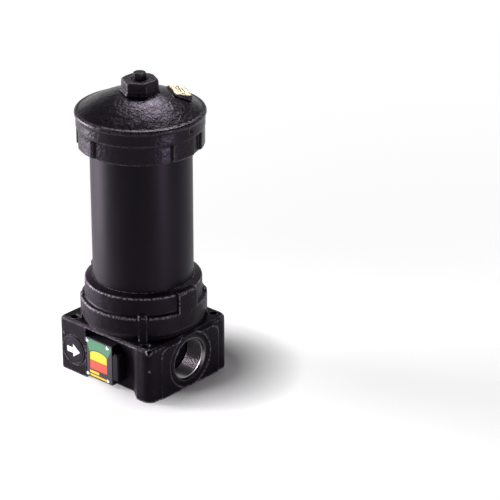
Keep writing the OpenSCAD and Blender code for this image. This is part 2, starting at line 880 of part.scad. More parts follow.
module nameplate() {
    color("#cdb978")
        on_plate_pad()
            difference() {
                linear_extrude(plate_t)
                    round_plan(plate_w, plate_l, 1.2);
                rivet_row(rivet_d + 2 * fit_gap, -over, plate_t + 2 * over);
            }
}

module nameplate_rivets() {
    color("#9a9a98")
        on_plate_pad() {
            rivet_row(rivet_d, -2.6, plate_t + 2.6);
            rivet_row(rivet_d + 1.4, plate_t, 0.6);
        }
}

module lock_screw() {
    length = rim_r - lock_sunk - lock_in;
    color("#8f8f92")
        rotate([0, 0, lock_dir])
            translate([lock_in, 0, lock_z])
                rotate([0, 90, 0])
                    difference() {
                        union() {
                            cylinder(h = length - 0.5, d = lock_d, $fn = 24);
                            translate([0, 0, length - 0.5])
                                cylinder(h = 0.5, d1 = lock_d, d2 = lock_d - 0.8,
                                    $fn = 24);
                        }
                        translate([0, 0, length - 2.4])
                            cylinder(h = 3, d = lock_d * 0.56, $fn = 6);
                    }
}

module vent_plug() {
    color("#3a383f")
        difference() {
            union() {
                translate([0, 0, vent_flange_z - vent_len])
                    cylinder(h = vent_len, d = vent_d, $fn = SMALL);
                translate([0, 0, vent_flange_z])
                    cylinder(h = vent_flange_t, d = vent_flange_d, $fn = SMALL);
                translate([0, 0, vent_head_z])
                    intersection() {
                        rotate([0, 0, 30])
                            cylinder(h = vent_head, d = vent_af / cos(30), $fn = 6);
                        cylinder(h = vent_head, r1 = vent_af, r2 = vent_af / 2 + 0.2,
                            $fn = SMALL);
                    }
            }
            translate([0, 0, vent_flange_z - vent_len - over])
                cylinder(h = vent_len - 4, d = vent_hole_d, $fn = 24);
            translate([0, 0, vent_flange_z - 5])
                rotate([90, 0, 0])
                    cylinder(h = vent_d + 2, d = vent_hole_d / 2, center = true, $fn = 24);
        }
}

module vent_seal() {
    color("#a8683c")
        translate([0, 0, vent_seal_z])
            difference() {
                cylinder(h = vent_seal_t, d = vent_flange_d, $fn = SMALL);
                translate([0, 0, -over])
                    cylinder(h = vent_seal_t + 2 * over, d = vent_d + 2 * run_gap,
                        $fn = SMALL);
            }
}

module element_spring() {
    color("#8d8d92")
        coil_spring(spring_d / 2, spring_wire / 2, element_z1 + run_gap,
            ceiling_z - 0.1, spring_turns, 24, 8);
}

// Outline of one face of the pleated sheet
function pleat_outline(tip_r, root_r) =
    [for (i = [0:2 * pleats - 1]) let (a = 180 * i / pleats, r = i % 2 == 0 ? tip_r : root_r)
        [r * cos(a), r * sin(a)]];

module element_media() {
    color("#d9c9a3")
        translate([0, 0, media_z0])
            linear_extrude(media_z1 - media_z0)
                difference() {
                    polygon(pleat_outline(pleat_d / 2, pleat_core_d / 2 + fold_t));
                    polygon(pleat_outline(pleat_d / 2 - fold_t, pleat_core_d / 2));
                }
}

module element_core() {
    row_gap = (media_z1 - media_z0 - 2 * core_end) / (core_rows - 1);
    color("#b5b6b8")
        difference() {
            translate([0, 0, media_z0])
                cylinder(h = media_z1 - media_z0, d = core_d, $fn = ARC);
            translate([0, 0, media_z0 - over])
                cylinder(h = media_z1 - media_z0 + 2 * over,
                    r = core_d / 2 - core_wall, $fn = ARC);
            for (i = [0:core_rows - 1], a = [0:45:135])
                translate([0, 0, media_z0 + core_end + i * row_gap])
                    rotate([90, 0, a + 22.5 * (i % 2)])
                        cylinder(h = core_d + 4, d = core_hole_d, center = true, $fn = 24);
        }
}

// End cap's disc and skirt; the skirt points along +Z
module end_cap(hole_r) {
    rotate_extrude($fn = ARC)
        polygon([[hole_r, 0], [element_r, 0], [element_r, skirt_h + end_t],
            [element_r - skirt_t, skirt_h + end_t], [element_r - skirt_t, end_t],
            [hole_r, end_t]]);
}

module element_bottom_cap() {
    groove = stub_seal_wire + 2 * seat_gap;
    color("#7d7f83")
        difference() {
            union() {
                translate([0, 0, element_z0])
                    end_cap(stub_r + seat_gap);
                translate([0, 0, element_z0])
                    cylinder(h = stub_engage - 1, r = hub_r, $fn = ARC);
            }
            translate([0, 0, element_z0 - over])
                cylinder(h = stub_engage + 2 * over, r = stub_r + seat_gap, $fn = ARC);
            translate([0, 0, stub_seal_z - groove / 2])
                cylinder(h = groove, r = stub_r + stub_seal_wire + 3 * seat_gap, $fn = ARC);
        }
}

module element_seal() {
    color("#151515")
        seal_ring(stub_r + seat_gap + stub_seal_wire / 2, stub_seal_wire, stub_seal_z);
}

module element_top_cap() {
    locator_r = spring_d / 2 + spring_wire / 2 + 0.8;
    color("#7d7f83")
        union() {
            translate([0, 0, element_z1])
                mirror([0, 0, 1])
                    end_cap(seat_d / 2);
            translate([0, 0, element_z1])
                rotate_extrude($fn = ARC)
                    polygon([[locator_r, -over], [locator_r + 1.4, -over],
                        [locator_r + 1.4, 2.5], [locator_r, 2.5]]);
        }
}

module bypass_cage() {
    window_up = 7;
    window_down = 6;
    color("#9b9ca0")
        difference() {
            translate([0, 0, cage_z0])
                cylinder(h = cage_len, r = cage_r, $fn = ARC);
            translate([0, 0, cage_z0 + cage_floor_t])
                cylinder(h = cage_len, r = cage_in_r, $fn = ARC);
            translate([0, 0, cage_z0 - over])
                cylinder(h = cage_floor_t + 2 * over, r = stem_d / 2 + run_gap,
                    $fn = SMALL);
            for (a = [0, 90])
                rotate([0, 0, a])
                    translate([-cage_r - over, -cage_in_r / 2, cage_z0 + window_up])
                        cube([2 * cage_r + 2 * over, cage_in_r,
                            cage_len - window_up - window_down]);
        }
}

module bypass_poppet() {
    color("#b08d4a")
        rotate_extrude($fn = ARC)
            polygon([[0, stem_z0], [stem_d / 2 - 0.6, stem_z0],
                [stem_d / 2, stem_z0 + 0.6], [stem_d / 2, poppet_z0],
                [poppet_d / 2, poppet_z0], [poppet_d / 2, poppet_z1],
                [0, poppet_z1]]);
}

module bypass_spring() {
    color("#8d8d92")
        coil_spring((stem_d / 2 + cage_in_r) / 2, bypass_wire / 2,
            cage_z0 + cage_floor_t, poppet_z0 - run_gap, bypass_turns, 18, 6);
}

// Places its children at the label's four screws, axis along +Y into the plate
module at_label_screws() {
    for (sx = [-1, 1], sz = [-1, 1])
        translate([label_mid_x - screw_aside + sx * screw_x / 2, label_back,
            label_mid_z + sz * screw_z / 2])
            rotate([-90, 0, 0])
                children();
}

module indicator_body() {
    bevel = 1.5;
    color("#232229")
        difference() {
            union() {
                translate([ind_x0, label_back, label_z])
                    cube([label_w, ind_back - label_back, label_h]);
                translate([0, 0, side_z0])
                    linear_extrude(side_h)
                        polygon([[ind_x1 - over, ind_back], [side_x1, ind_back],
                            [side_x1, ind_front + bevel], [side_x1 - bevel, ind_front],
                            [ind_x1 + bevel, ind_front], [ind_x1 + 0.2, ind_front + bevel],
                            [ind_x1 - over, ind_front + bevel]]);
            }
            translate([piston_x, piston_y, piston_floor])
                cylinder(h = side_h, d = piston_bore, $fn = SMALL);
            at_label_screws()
                translate([0, 0, -over])
                    cylinder(h = screw_bite + 1, d = screw_head_d * 0.55 + 2 * fit_gap,
                        $fn = 24);
            for (z = [side_z0 + sense_in, side_z1 - sense_in])
                translate([label_mid_x, ind_back - 6, z])
                    rotate([-90, 0, 0])
                        cylinder(h = 6 + over, d = sense_d, $fn = 24);
        }
}

module indicator_label() {
    color("#17171b")
        difference() {
            translate([ind_x0, ind_front, label_z])
                cube([label_w, label_t, label_h]);
            at_label_screws()
                translate([0, 0, -label_t - over])
                    cylinder(h = label_t + 2 * over, d = screw_head_d * 0.55 + 2 * fit_gap,
                        $fn = 24);
        }
}

module indicator_screws() {
    head_h = 0.9;
    color("#d8d8dc")
        at_label_screws() {
            translate([0, 0, -label_t - head_h])
                difference() {
                    cylinder(h = head_h, d = screw_head_d, $fn = 24);
                    translate([-screw_head_d, -0.35, -over])
                        cube([2 * screw_head_d, 0.7, 0.4 + over]);
                }
            translate([0, 0, -label_t])
                cylinder(h = label_t + screw_bite, d = screw_head_d * 0.55, $fn = 24);
        }
}

module indicator_gasket() {
    color("#1c1c1c")
        difference() {
            translate([ind_x0 + 1, ind_back, side_z0])
                cube([side_x1 - ind_x0 - 2, gasket_t, side_h]);
            for (z = [side_z0 + sense_in, side_z1 - sense_in])
                translate([label_mid_x, ind_back - over, z])
                    rotate([-90, 0, 0])
                        cylinder(h = gasket_t + 2 * over, d = sense_d + 1, $fn = 24);
        }
}

module indicator_piston() {
    color("#c0392b")
        translate([piston_x, piston_y, piston_z0])
            difference() {
                cylinder(h = piston_len, r = piston_r, $fn = SMALL);
                translate([0, 0, piston_len - 2.6])
                    difference() {
                        cylinder(h = 1, r = piston_r + 1, $fn = SMALL);
                        translate([0, 0, -over])
                            cylinder(h = 1 + 2 * over, r = piston_r - 0.6, $fn = SMALL);
                    }
            }
}

module indicator_spring() {
    color("#8d8d92")
        translate([piston_x, piston_y, 0])
            coil_spring(piston_bore / 2 - 1.2, 0.35, piston_floor,
                piston_z0 - run_gap, 8, 12, 6);
}

module indicator_plug() {
    color("#6f6f74")
        translate([piston_x, piston_y, plug_z0])
            difference() {
                union() {
                    cylinder(h = side_z1 - plug_z0, r = piston_r, $fn = SMALL);
                    translate([0, 0, side_z1 - plug_z0])
                        cylinder(h = plug_proud, d = side_w - 1, $fn = SMALL);
                }
                translate([-side_w, -0.6, side_z1 - plug_z0 + plug_proud - 0.9])
                    cube([2 * side_w, 1.2, 2]);
            }
}

module side_disc() {
    disc_r = disc_d / 2;
    thick = disc_seat + disc_proud;
    color("#26252b")
        translate([-disc_x, -post_y + disc_seat, disc_z])
            rotate([90, 0, 0])
                rotate_extrude($fn = ARC)
                    polygon([[0, 0], [disc_r, 0], [disc_r, thick - 0.5],
                        [disc_r - 0.5, thick], [disc_r - 1.6, thick],
                        [disc_r - 2, thick - 0.6], [disc_r - 3.2, thick - 0.6],
                        [disc_r - 3.6, thick - 0.2], [0, thick - 0.2]]);
}

base_head();
housing_tube();
tube_seal();
cap();
cap_seal();
nameplate();
nameplate_rivets();
lock_screw();
vent_plug();
vent_seal();
element_spring();
element_top_cap();
element_media();
element_core();
element_bottom_cap();
element_seal();
bypass_cage();
bypass_poppet();
bypass_spring();
indicator_body();
indicator_label();
indicator_screws();
indicator_gasket();
indicator_piston();
indicator_spring();
indicator_plug();
side_disc();
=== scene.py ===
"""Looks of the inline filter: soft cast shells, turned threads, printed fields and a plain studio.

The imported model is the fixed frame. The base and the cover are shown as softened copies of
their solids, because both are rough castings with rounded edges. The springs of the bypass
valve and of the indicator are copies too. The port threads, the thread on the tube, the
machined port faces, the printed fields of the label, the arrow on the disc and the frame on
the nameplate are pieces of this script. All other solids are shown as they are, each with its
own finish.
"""

import json
import logging
import math
from abc import ABC, abstractmethod
from dataclasses import dataclass, field
from enum import Enum
from functools import cache

import bmesh
import bpy
from mathutils import Matrix, Vector


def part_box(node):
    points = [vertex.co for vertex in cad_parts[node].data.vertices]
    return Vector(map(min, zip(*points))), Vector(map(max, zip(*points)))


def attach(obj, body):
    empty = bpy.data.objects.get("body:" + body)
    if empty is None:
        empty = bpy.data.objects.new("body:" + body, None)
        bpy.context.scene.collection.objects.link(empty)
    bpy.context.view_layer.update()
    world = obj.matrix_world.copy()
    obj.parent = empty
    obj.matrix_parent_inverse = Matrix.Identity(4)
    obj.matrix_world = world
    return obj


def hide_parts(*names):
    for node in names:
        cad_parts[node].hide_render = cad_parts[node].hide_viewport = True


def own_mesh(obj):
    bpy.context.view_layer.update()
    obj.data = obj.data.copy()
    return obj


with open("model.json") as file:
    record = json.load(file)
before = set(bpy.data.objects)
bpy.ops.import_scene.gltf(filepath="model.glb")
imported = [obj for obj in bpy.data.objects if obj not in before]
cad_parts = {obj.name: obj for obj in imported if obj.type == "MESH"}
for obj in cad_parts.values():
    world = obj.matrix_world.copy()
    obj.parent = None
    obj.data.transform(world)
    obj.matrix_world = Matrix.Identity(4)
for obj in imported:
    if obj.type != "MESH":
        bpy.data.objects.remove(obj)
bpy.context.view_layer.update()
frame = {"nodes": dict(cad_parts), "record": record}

log = logging.getLogger("inline_filter")

Span = tuple[float, float]
Point = tuple[float, float]
Factors = tuple[float, float, float]
Colour = tuple[float, float, float]
Value = float | Colour | bpy.types.NodeSocket

MM = 0.001
RING_STEPS = 96
SHARP_ANGLE = math.radians(35.0)
ORIGIN = (0.0, 0.0, 0.0)
AXIS_X = Vector((1.0, 0.0, 0.0))
AXIS_Z = Vector((0.0, 0.0, 1.0))


class Body(str, Enum):
    """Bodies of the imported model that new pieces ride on."""

    HOUSING = "housing"
    COVER = "cover"


class Slot(str, Enum):
    """Material slots of the record that new pieces take their finish from."""

    CASTING = "casting_paint"
    LABEL = "label_print"
    INDICATOR = "indicator_black"
    PLATE = "plate_gold"
    STEEL = "element_steel"
    SPRING = "spring_steel"


class Graph:
    """Node tree of one material, with short calls to add nodes and join them."""

    def __init__(self, name: str) -> None:
        """Start a material with an empty surface shader.

        Args:
            name: Name of the material.
        """
        self.material = bpy.data.materials.new(name)
        self.material.use_nodes = True
        self.tree = self.material.node_tree
        self.shader = self.tree.nodes["Principled BSDF"]
        self.place = self.add("ShaderNodeTexCoord").outputs["Object"]

    def add(self, kind: str, **settings: object) -> bpy.types.Node:
        """Add a node.

        Args:
            kind: Blender's name of the node type.
            settings: Attributes that the node gets.

        Returns:
            The new node.
        """
        node = self.tree.nodes.new(kind)
        for key, value in settings.items():
            setattr(node, key, value)
        return node

    def join(self, value: Value, target: bpy.types.NodeSocket) -> None:
        """Join an output to an input, or set the input.

        Args:
            value: An output, a number or a colour.
            target: The input.
        """
        if isinstance(value, bpy.types.NodeSocket):
            self.tree.links.new(value, target)
        elif isinstance(value, tuple):
            target.default_value = (*value, 1.0)
        else:
            target.default_value = value

    def set(self, **values: object) -> None:
        """Set constants on the shader, with underscores for the blanks in a socket's name."""
        for key, value in values.items():
            self.shader.inputs[key.replace("_", " ")].default_value = value

    def noise(self, size: float, detail: float = 2.0, roughness: float = 0.5,
              stretch: Factors = (1.0, 1.0, 1.0)) -> bpy.types.NodeSocket:
        """Add a noise pattern on the object's own coordinates.

        Args:
            size: Size of the pattern's features in metres.
            detail: Number of finer layers.
            roughness: Weight of the finer layers.
            stretch: Factors on the coordinates along X, Y and Z.

        Returns:
            The pattern's value, about 0 to 1.
        """
        mapping = self.add("ShaderNodeMapping")
        mapping.inputs["Scale"].default_value = stretch
        self.join(self.place, mapping.inputs["Vector"])
        pattern = self.add("ShaderNodeTexNoise")
        pattern.inputs["Scale"].default_value = 1.0 / size
        pattern.inputs["Detail"].default_value = detail
        pattern.inputs["Roughness"].default_value = roughness
        self.join(mapping.outputs["Vector"], pattern.inputs["Vector"])
        return pattern.outputs["Fac"]

    def pits(self, size: float) -> bpy.types.NodeSocket:
        """Add a pattern of round pits.

        Args:
            size: Distance between the pits in metres.

        Returns:
            The distance from the nearest pit, 0 in its middle.
        """
        pattern = self.add("ShaderNodeTexVoronoi")
        pattern.inputs["Scale"].default_value = 1.0 / size
        self.join(self.place, pattern.inputs["Vector"])
        return pattern.outputs["Distance"]

    def math(self, operation: str, first: Value, second: Value) -> bpy.types.NodeSocket:
        """Join two values by an operation.

        Args:
            operation: Blender's name of the operation.
            first: A number or an output.
            second: A number or an output.

        Returns:
            The result.
        """
        node = self.add("ShaderNodeMath", operation=operation)
        self.join(first, node.inputs[0])
        self.join(second, node.inputs[1])
        return node.outputs[0]

    def weighted(self, *parts: tuple[bpy.types.NodeSocket, float]) -> bpy.types.NodeSocket:
        """Add up patterns.

        Args:
            parts: Each pattern with its weight.

        Returns:
            The weighted sum.
        """
        total, *others = [self.math("MULTIPLY", pattern, weight) for pattern, weight in parts]
        for other in others:
            total = self.math("ADD", total, other)
        return total

    def spread(self, source: bpy.types.NodeSocket, low: float, high: float,
               into: Span = (0.0, 1.0)) -> bpy.types.NodeSocket:
        """Map a value's range onto another range, held at its ends.

        Args:
            source: The value.
            low: Where the value's range starts.
            high: Where it ends.
            into: The new range.

        Returns:
            The mapped value.
        """
        node = self.add("ShaderNodeMapRange")
        node.inputs["From Min"].default_value = low
        node.inputs["From Max"].default_value = high
        node.inputs["To Min"].default_value = into[0]
        node.inputs["To Max"].default_value = into[1]
        self.join(source, node.inputs["Value"])
        return node.outputs["Result"]

    def colours(self, share: bpy.types.NodeSocket, first: Value,
                second: Value) -> bpy.types.NodeSocket:
        """Mix two colours.

        Args:
            share: Share of the second colour.
            first: A colour or an output.
            second: A colour or an output.

        Returns:
            The mixed colour.
        """
        node = self.add("ShaderNodeMix", data_type="RGBA")
        self.join(share, node.inputs["Factor"])
        sockets = {socket.name: socket for socket in node.inputs if socket.type == "RGBA"}
        self.join(first, sockets["A"])
        self.join(second, sockets["B"])
        return next(socket for socket in node.outputs if socket.type == "RGBA")

    def paint(self, tone: bpy.types.NodeSocket, rough: bpy.types.NodeSocket) -> None:
        """Join a colour and a roughness to the shader."""
        self.join(tone, self.shader.inputs["Base Color"])
        self.join(rough, self.shader.inputs["Roughness"])

    def relief(self, height: bpy.types.NodeSocket, depth: float, edge: float = 0.0,
               strength: float = 1.0) -> None:
        """Give the shader a bumpy normal, with rounded edges where an edge radius is given.

        Args:
            height: The relief's height, about 0 to 1.
            depth: Its depth in metres.
            edge: Radius of the rounded edges in metres.
            strength: How strongly the relief shows.
        """
        bump = self.add("ShaderNodeBump")
        bump.inputs["Strength"].default_value = strength
        bump.inputs["Distance"].default_value = depth
        self.join(height, bump.inputs["Height"])
        if edge > 0.0:
            round_edge = self.add("ShaderNodeBevel", samples=6)
            round_edge.inputs["Radius"].default_value = edge
            self.join(round_edge.outputs["Normal"], bump.inputs["Normal"])
        self.join(bump.outputs["Normal"], self.shader.inputs["Normal"])


def lighter(colour: Colour, factor: float) -> Colour:
    """Return a colour with each part multiplied by a factor."""
    return tuple(min(1.0, part * factor) for part in colour)


# Pale colour of the painted highlight on the castings' convex edges.
EDGE_HIGHLIGHT_PAINT = (0.35, 0.31, 0.36)
PURPLE_SHEEN = (0.86, 0.7, 1.0, 1.0)


@dataclass(frozen=True)
class Finish(ABC):
    """What all finishes have in common.

    Attributes:
        name: Name of the material.
        colour: Its main colour.
    """

    name: str
    colour: Colour

    @abstractmethod
    def make(self) -> bpy.types.Material:
        """Return the material."""


@dataclass(frozen=True)
class CastPaint(Finish):
    """Semi-gloss paint on a rough casting, with a painted highlight on its convex edges.

    Attributes:
        gloss: Lowest and highest roughness.
        grain: Size of the fine grain in metres.
        lump: Size of the casting's unevenness in metres.
        depth: Depth of the relief in metres.
        edge: Radius of the rounded edges in metres, or 0.
        mirror: Specular level of the paint.
        edge_highlight: Strength of the painted highlight on the convex edges, from 0 to 1.
    """

    gloss: Span
    depth: float
    mirror: float
    grain: float = 2.2 * MM
    lump: float = 11.0 * MM
    edge: float = 0.0
    edge_highlight: float = 1.0

    def make(self) -> bpy.types.Material:
        """Return the material."""
        graph = Graph(self.name)
        grain = graph.noise(self.grain, detail=3.0, roughness=0.6)
        lump = graph.noise(self.lump)
        pits = graph.pits(1.7 * self.grain)
        clouds = graph.spread(lump, 0.35, 0.7)
        specks = graph.spread(grain, 0.62, 0.75, (0.0, 0.5))
        tone = graph.colours(clouds, self.colour, lighter(self.colour, 1.5))
        tone = graph.colours(specks, tone, lighter(self.colour, 2.3))
        # Painted highlight: convex edges, found by pointiness and broken up by the grain, get a
        # pale colour.
        if self.edge_highlight > 0.0:
            ridges = graph.add("ShaderNodeNewGeometry").outputs["Pointiness"]
            highlighted_edges = graph.math("MULTIPLY", graph.spread(ridges, 0.505, 0.54),
                                graph.spread(grain, 0.42, 0.62, (0.0, self.edge_highlight)))
            tone = graph.colours(highlighted_edges, tone, EDGE_HIGHLIGHT_PAINT)
        graph.paint(tone, graph.spread(grain, 0.3, 0.7, self.gloss))
        height = graph.weighted((grain, 0.55), (pits, 0.35), (lump, 1.6))
        graph.relief(height, self.depth, self.edge, strength=0.8)
        graph.set(Specular_IOR_Level=self.mirror, Specular_Tint=PURPLE_SHEEN)
        return graph.material


@dataclass(frozen=True)
class SmoothPaint(Finish):
    """Even satin paint or plastic on a smooth piece.

    Attributes:
        gloss: Lowest and highest roughness.
        edge: Radius of the rounded edges in metres.
        stretch: Factors on the pattern along X, Y and Z.
        mirror: Specular level of the paint.
    """

    gloss: Span
    edge: float = 0.4 * MM
    stretch: Factors = (1.0, 1.0, 1.0)
    mirror: float = 0.1

    def make(self) -> bpy.types.Material:
        """Return the material."""
        graph = Graph(self.name)
        clouds = graph.noise(30.0 * MM, detail=3.0, roughness=0.6, stretch=self.stretch)
        peel = graph.noise(1.8 * MM, detail=1.0)
        tone = graph.colours(graph.spread(clouds, 0.35, 0.68), self.colour,
                             lighter(self.colour, 1.3))
        graph.paint(tone, graph.spread(clouds, 0.3, 0.7, self.gloss))
        graph.relief(peel, 0.05 * MM, self.edge, strength=0.6)
        graph.set(Specular_IOR_Level=self.mirror, Specular_Tint=PURPLE_SHEEN)
        return graph.material


@dataclass(frozen=True)
class BareMetal(Finish):
    """Turned, drawn or stamped metal.

    Attributes:
        gloss: Lowest and highest roughness.
        stain: Colour of the stained places.
        stretch: Factors on the brush pattern along X, Y and Z.
        edge: Radius of the rounded edges in metres.
    """

    gloss: Span = (0.22, 0.42)
    stain: Colour = (0.25, 0.23, 0.22)
    stretch: Factors = (1.0, 1.0, 8.0)
    edge: float = 0.2 * MM

    def make(self) -> bpy.types.Material:
        """Return the material."""
        graph = Graph(self.name)
        brush = graph.noise(3.5 * MM, detail=4.0, roughness=0.65, stretch=self.stretch)
        clouds = graph.noise(12.0 * MM)
        tone = graph.colours(graph.spread(brush, 0.3, 0.72), lighter(self.colour, 0.82),
                             self.colour)
        tone = graph.colours(graph.spread(clouds, 0.55, 0.8, (0.0, 0.45)), tone, self.stain)
        graph.paint(tone, graph.spread(brush, 0.3, 0.7, self.gloss))
        graph.relief(brush, 0.04 * MM, self.edge, strength=0.6)
        graph.set(Metallic=1.0)
        return graph.material


@dataclass(frozen=True)
class Rubber(Finish):
    """Matte sealing rubber."""

    def make(self) -> bpy.types.Material:
        """Return the material."""
        graph = Graph(self.name)
        bloom = graph.noise(2.0 * MM, detail=3.0, roughness=0.6)
        tone = graph.colours(graph.spread(bloom, 0.4, 0.8), self.colour,
                             lighter(self.colour, 1.8))
        graph.paint(tone, graph.spread(bloom, 0.3, 0.7, (0.55, 0.75)))
        graph.relief(bloom, 0.03 * MM)
        return graph.material


@dataclass(frozen=True)
class Print(Finish):
    """Print or coloured plastic, slightly worn.

    Attributes:
        worn: Colour of the worn specks.
    """

    worn: Colour

    def make(self) -> bpy.types.Material:
        """Return the material."""
        graph = Graph(self.name)
        clouds = graph.noise(4.0 * MM, detail=4.0, roughness=0.6)
        fine = graph.noise(0.8 * MM)
        tone = graph.colours(graph.spread(clouds, 0.35, 0.75, (0.0, 0.5)), self.colour,
                             lighter(self.colour, 0.78))
        tone = graph.colours(graph.spread(fine, 0.66, 0.74, (0.0, 0.6)), tone, self.worn)
        graph.paint(tone, graph.spread(fine, 0.3, 0.7, (0.35, 0.5)))
        graph.relief(fine, 0.02 * MM, strength=0.5)
        return graph.material


@dataclass(frozen=True)
class Felt(Finish):
    """Pleated filter paper with its fibres."""

    def make(self) -> bpy.types.Material:
        """Return the material."""
        graph = Graph(self.name)
        fibres = graph.noise(1.2 * MM, detail=4.0, roughness=0.7, stretch=(1.0, 1.0, 0.25))
        tone = graph.colours(graph.spread(fibres, 0.35, 0.7), lighter(self.colour, 0.75),
                             self.colour)
        graph.join(tone, graph.shader.inputs["Base Color"])
        graph.relief(fibres, 0.1 * MM)
        graph.set(Roughness=0.85)
        return graph.material


CASTING = CastPaint("casting_black", (0.0033, 0.0029, 0.0037), gloss=(0.34, 0.52),
                    depth=0.7 * MM, mirror=0.08)
COVER_CASTING = CastPaint("cover_black", (0.0035, 0.003, 0.004), gloss=(0.25, 0.38),
                          depth=0.6 * MM, mirror=0.14, edge_highlight=0.3)
HEX_PAINT = CastPaint("plug_black", (0.006, 0.0055, 0.0065), gloss=(0.22, 0.36),
                      depth=0.12 * MM, mirror=0.25, grain=1.4 * MM, edge=0.5 * MM, edge_highlight=0.0)
MACHINED_PAINT = SmoothPaint("machined_black", (0.01, 0.009, 0.011), gloss=(0.3, 0.42))
TUBE_PAINT = SmoothPaint("tube_black", (0.004, 0.0035, 0.0044), gloss=(0.36, 0.43),
                         stretch=(1.0, 1.0, 0.35))
INDICATOR_BLACK = SmoothPaint("indicator_black_matte", (0.01, 0.01, 0.0115), gloss=(0.42, 0.55),
                              edge=0.6 * MM)
DISC_BLACK = SmoothPaint("disc_black", (0.011, 0.01, 0.0125), gloss=(0.34, 0.46), edge=0.3 * MM)
LABEL_BLACK = Print("label_black", (0.014, 0.014, 0.016), worn=(0.05, 0.05, 0.05))
LABEL_GREEN = Print("label_green", (0.055, 0.2, 0.1), worn=(0.1, 0.3, 0.18))
LABEL_YELLOW = Print("label_yellow", (0.82, 0.58, 0.03), worn=(0.6, 0.45, 0.1))
LABEL_RED = Print("label_red", (0.72, 0.075, 0.045), worn=(0.8, 0.25, 0.15))
MARK_WHITE = Print("mark_white", (0.75, 0.75, 0.76), worn=(0.4, 0.4, 0.42))
PLATE_BROWN = Print("plate_brown", (0.16, 0.1, 0.04), worn=(0.4, 0.3, 0.15))
PISTON_RED = Print("piston_red_plastic", (0.6, 0.05, 0.04), worn=(0.65, 0.12, 0.1))
PLATE_GOLD = BareMetal("plate_gold_stamped", (0.68, 0.64, 0.44), gloss=(0.5, 0.65),
                       stain=(0.5, 0.38, 0.18), stretch=(1.0, 1.0, 1.0))
THREAD_STEEL = BareMetal("thread_steel", (0.28, 0.265, 0.275), gloss=(0.27, 0.31),
                         stain=(0.15, 0.13, 0.12), stretch=(1.5, 1.0, 1.0), edge=0.0)
BRIGHT_STEEL = BareMetal("screw_steel", (0.82, 0.82, 0.84), gloss=(0.15, 0.3))
ELEMENT_STEEL = BareMetal("element_zinc", (0.6, 0.61, 0.63))
SPRING_STEEL = BareMetal("spring_wire", (0.4, 0.4, 0.42))
VALVE_BRASS = BareMetal("valve_brass_turned", (0.78, 0.58, 0.28), stain=(0.4, 0.26, 0.1))
COPPER = BareMetal("copper_ring", (0.3, 0.16, 0.1), stain=(0.1, 0.05, 0.03))
SEAL_RUBBER = Rubber("seal_black", (0.02, 0.02, 0.02))
MEDIA = Felt("filter_paper", (0.8, 0.73, 0.56))

FINISHED_NODES: dict[Finish, tuple[str, ...]] = {
    TUBE_PAINT: ("housing_tube",),
    HEX_PAINT: ("lock_screw", "vent_plug", "indicator_plug"),
    INDICATOR_BLACK: ("indicator_body",),
    DISC_BLACK: ("side_disc",),
    LABEL_BLACK: ("indicator_label",),
    PLATE_GOLD: ("nameplate",),
    BRIGHT_STEEL: ("nameplate_rivets", "indicator_screws"),
    SPRING_STEEL: ("element_spring",),
    ELEMENT_STEEL: ("element_top_cap", "element_bottom_cap", "element_core", "bypass_cage"),
    VALVE_BRASS: ("bypass_poppet",),
    COPPER: ("vent_seal",),
    SEAL_RUBBER: ("tube_seal", "cap_seal", "element_seal", "indicator_gasket"),
    MEDIA: ("element_media",),
    PISTON_RED: ("indicator_piston",),
}


def copied_shape(node: str) -> bmesh.types.BMesh:
    """Return a copy of a solid's shape with its doubled corners joined."""
    shape = bmesh.new()
    shape.from_mesh(frame["nodes"][node].data)
    bmesh.ops.remove_doubles(shape, verts=shape.verts[:], dist=0.005 * MM)
    return shape


def finished_mesh(shape: bmesh.types.BMesh, name: str) -> bpy.types.Mesh:
    """Return a new mesh with a finished shape, which is freed."""
    mesh = bpy.data.meshes.new(name)
    shape.to_mesh(mesh)
    shape.free()
    return mesh


def new_object(name: str, data: bpy.types.ID) -> bpy.types.Object:
    """Return a new object of the scene that shows a mesh, a lamp or a camera."""
    made = bpy.data.objects.new(name, data)
    bpy.context.scene.collection.objects.link(made)
    return made


def box_middle(node: str) -> Vector:
    """Return the middle of a node's box."""
    low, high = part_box(node)
    return (low + high) / 2.0


@cache
def material(finish: Finish) -> bpy.types.Material:
    """Return the material of a finish, made on its first use."""
    return finish.make()


def dress_nodes() -> None:
    """Give every solid that stays in sight its finish."""
    for finish, nodes in FINISHED_NODES.items():
        for node in nodes:
            for slot in frame["nodes"][node].material_slots:
                slot.material = material(finish)
        log.info("%s: %s", finish.name, ", ".join(nodes))


def add_piece(name: str, shape: bmesh.types.BMesh, finish: Finish, body: Body) -> bpy.types.Object:
    """Turn a finished shape into a piece that rides on a body.

    Args:
        name: Name of the piece.
        shape: Its shape, in metres and in place. It is freed.
        finish: Its finish.
        body: The body that it rides on.

    Returns:
        The piece's object.
    """
    mesh = finished_mesh(shape, name)
    mesh.shade_smooth()
    mesh.set_sharp_from_angle(angle=SHARP_ANGLE)
    mesh.materials.append(material(finish))
    made = new_object(name, mesh)
    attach(made, body.value)
    log.info("piece %s: %d faces on %s", name, len(mesh.polygons), body.value)
    return made


def outline_face(shape: bmesh.types.BMesh, corners: list[Point], round_off: float = 0.0,
                 segments: int = 4) -> None:
    """Add a flat face in the XY plane from its corners, with round corners if asked.

    Args:
        shape: The shape that gets the face.
        corners: Corners in millimetres, anticlockwise.
        round_off: Cut of the round corners in millimetres.
        segments: Steps of each round corner.
    """
    corner_verts = [shape.verts.new((x * MM, y * MM, 0.0)) for x, y in corners]
    shape.faces.new(corner_verts)
    if round_off > 0.0:
        bmesh.ops.bevel(shape, geom=corner_verts, offset=round_off * MM, affect="VERTICES",
                        segments=segments, profile=0.5, material=-1)


def box_corners(ends: Span, heights: Span) -> list[Point]:
    """Return the corners of a rectangle, anticlockwise from its lower left one."""
    (left, right), (foot, top) = ends, heights
    return [(left, foot), (right, foot), (right, top), (left, top)]


